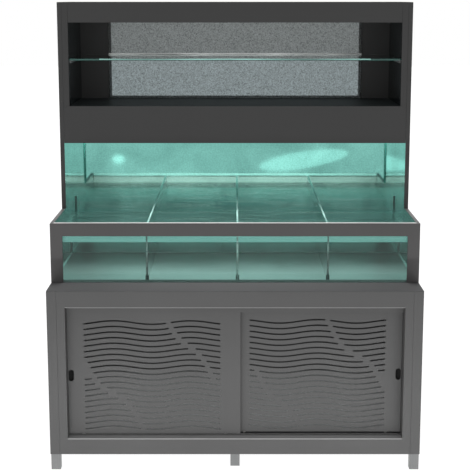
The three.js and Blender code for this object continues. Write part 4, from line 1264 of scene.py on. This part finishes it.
folded_sheet("lamp_housing", lamp_aluminium, 0.0004)
low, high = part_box("lamp_housing")
inset = Vector((LAMP_WALL + LENS_CLEARANCE, LAMP_WALL + LENS_CLEARANCE, 0.0))
bm = bmesh.new()
plain_box(
    bm,
    (low.x + inset.x, low.y + inset.y, low.z + LAMP_RECESS - LENS_THICKNESS - 0.0005),
    (high.x - inset.x, high.y - inset.y, low.z + LAMP_RECESS - 0.0005),
)
round_off(bm, bm.edges[:], 0.0012, 4)
lens_acrylic = opal_acrylic("lens_acrylic", (0.78, 0.80, 0.78), 60.0)
smooth_curves(finished("lamp_lens", bm, lens_acrylic), 60)

# ---------------------------------------------------------------------------------------------------
# Glass shelf. Eight-millimetre clear glass resting on two small aluminium angles, with a low stop strip
# bonded along its back. Its green edges carry painted highlight over the window and painted shade
# elsewhere, and the stop strip's pale colour is painted highlight.
# ---------------------------------------------------------------------------------------------------

SHELF_TINT = (0.84, 0.95, 0.92)
SHELF_PAINTED_HIGHLIGHT = (0.95, 1.0, 0.98)
SHELF_LIT_TEAL = (0.42, 0.80, 0.72)
SHELF_PAINTED_SHADE = (0.02, 0.09, 0.075)
SHELF_SHADE = 0.0036
SHELF_STOP = 0.0065

shelf_glass = float_glass("shelf_glass", SHELF_TINT, 0.06)
highlight_edge = painted_light_edge("highlight_edge", SHELF_PAINTED_HIGHLIGHT)
lit_teal_edge = painted_light_edge("lit_teal_edge", SHELF_LIT_TEAL)
shaded_edge = painted_light_edge("shaded_edge", SHELF_PAINTED_SHADE)
low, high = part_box("glass_shelf")
window_low, window_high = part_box("rear_window")
bm = clean_copy("glass_shelf")
round_off(bm, [edge for edge in bm.edges if edge.calc_face_angle() > SHARP], GLASS_ARRIS, 1)
for point, normal in (
    ((0, 0, low.z + SHELF_SHADE), (0, 0, 1)),
    ((window_low.x, 0, 0), (1, 0, 0)), ((window_high.x, 0, 0), (1, 0, 0)),
):
    bmesh.ops.bisect_plane(
        bm, geom=bm.verts[:] + bm.edges[:] + bm.faces[:], dist=0.000001, plane_co=point, plane_no=normal,
    )
bm.normal_update()
# Edges over the window get painted light: the rear edge painted highlight, the upper front edge the lit
# teal; all other edges get painted shade.
for face in bm.faces:
    middle = face.calc_center_median()
    if abs(face.normal.z) < 0.9:
        rear = middle.y > (low.y + high.y) / 2
        lit = window_low.x < middle.x < window_high.x
        upper = middle.z > low.z + SHELF_SHADE
        face.material_index = (1 if lit else 3) if rear else (2 if upper and lit else 3)
shelf = finished("glass_shelf_pane", bm, shelf_glass, stands_for=["glass_shelf"])
for material in (highlight_edge, lit_teal_edge, shaded_edge):
    shelf.data.materials.append(material)
shelf.visible_shadow = False
# The stop strip is coloured with the painted highlight.
bm = bmesh.new()
plain_box(
    bm, (window_low.x, high.y - 0.009, high.z + 0.0001),
    (window_high.x, high.y - 0.001, high.z + SHELF_STOP),
)
round_off(bm, bm.edges[:], 0.0006, 2)
finished("shelf_stop", bm, highlight_edge)
for side in ("left", "right"):
    folded_sheet(f"shelf_rest_{side}", rest_aluminium, 0.0002)

# ---------------------------------------------------------------------------------------------------
# Rear window. A satin translucent pane standing on the hood's floor, which lets the light behind the
# hood through as a soft grey with a fine grain.
# ---------------------------------------------------------------------------------------------------

# The pane's two tones are painted light: painted shade above the shelf, painted light below it.
PANE_ABOVE_SHELF_SHADED = (0.195, 0.212, 0.212)
PANE_BELOW_SHELF_LIT = (0.27, 0.315, 0.325)


def satin_pane(name, upper, lower, middle_z):
    """Grained translucent pane, darker above the shelf and lighter below it: painted shade and painted
    light.
    """
    material, link, shader, add = node_material(name)
    place = add("ShaderNodeTexCoord")
    split = add("ShaderNodeSeparateXYZ")
    height = add("ShaderNodeMapRange")
    height.inputs["From Min"].default_value = middle_z - 0.004
    height.inputs["From Max"].default_value = middle_z + 0.004
    grain = add("ShaderNodeTexNoise", Scale=230.0, Detail=2.0)
    light = add("ShaderNodeMapRange")
    light.inputs["From Min"].default_value = 0.25
    light.inputs["From Max"].default_value = 0.75
    light.inputs["To Min"].default_value = 0.1
    light.inputs["To Max"].default_value = 1.9
    base = add("ShaderNodeValToRGB")
    low, high = base.color_ramp.elements
    low.color = (*lower, 1.0)
    high.color = (*upper, 1.0)
    grained = add("ShaderNodeVectorMath", operation="SCALE")
    bump = add("ShaderNodeBump", Strength=0.4, Distance=0.0003)
    link(place.outputs["Object"], split.inputs["Vector"])
    link(split.outputs["Z"], height.inputs["Value"])
    link(height.outputs["Result"], base.inputs["Fac"])
    link(place.outputs["Object"], grain.inputs["Vector"])
    link(grain.outputs["Fac"], light.inputs["Value"])
    link(base.outputs["Color"], grained.inputs[0])
    link(light.outputs["Result"], grained.inputs["Scale"])
    link(grain.outputs["Fac"], bump.inputs["Height"])
    link(grained.outputs["Vector"], shader.inputs["Base Color"])
    link(bump.outputs["Normal"], shader.inputs["Normal"])
    shader.inputs["Roughness"].default_value = 0.55
    shader.inputs["Transmission Weight"].default_value = 0.85
    shader.inputs["IOR"].default_value = 1.45
    return material


window_pane = satin_pane("window_pane", PANE_ABOVE_SHELF_SHADED, PANE_BELOW_SHELF_LIT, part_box("glass_shelf")[0].z)
ground_pane("rear_window", window_pane)
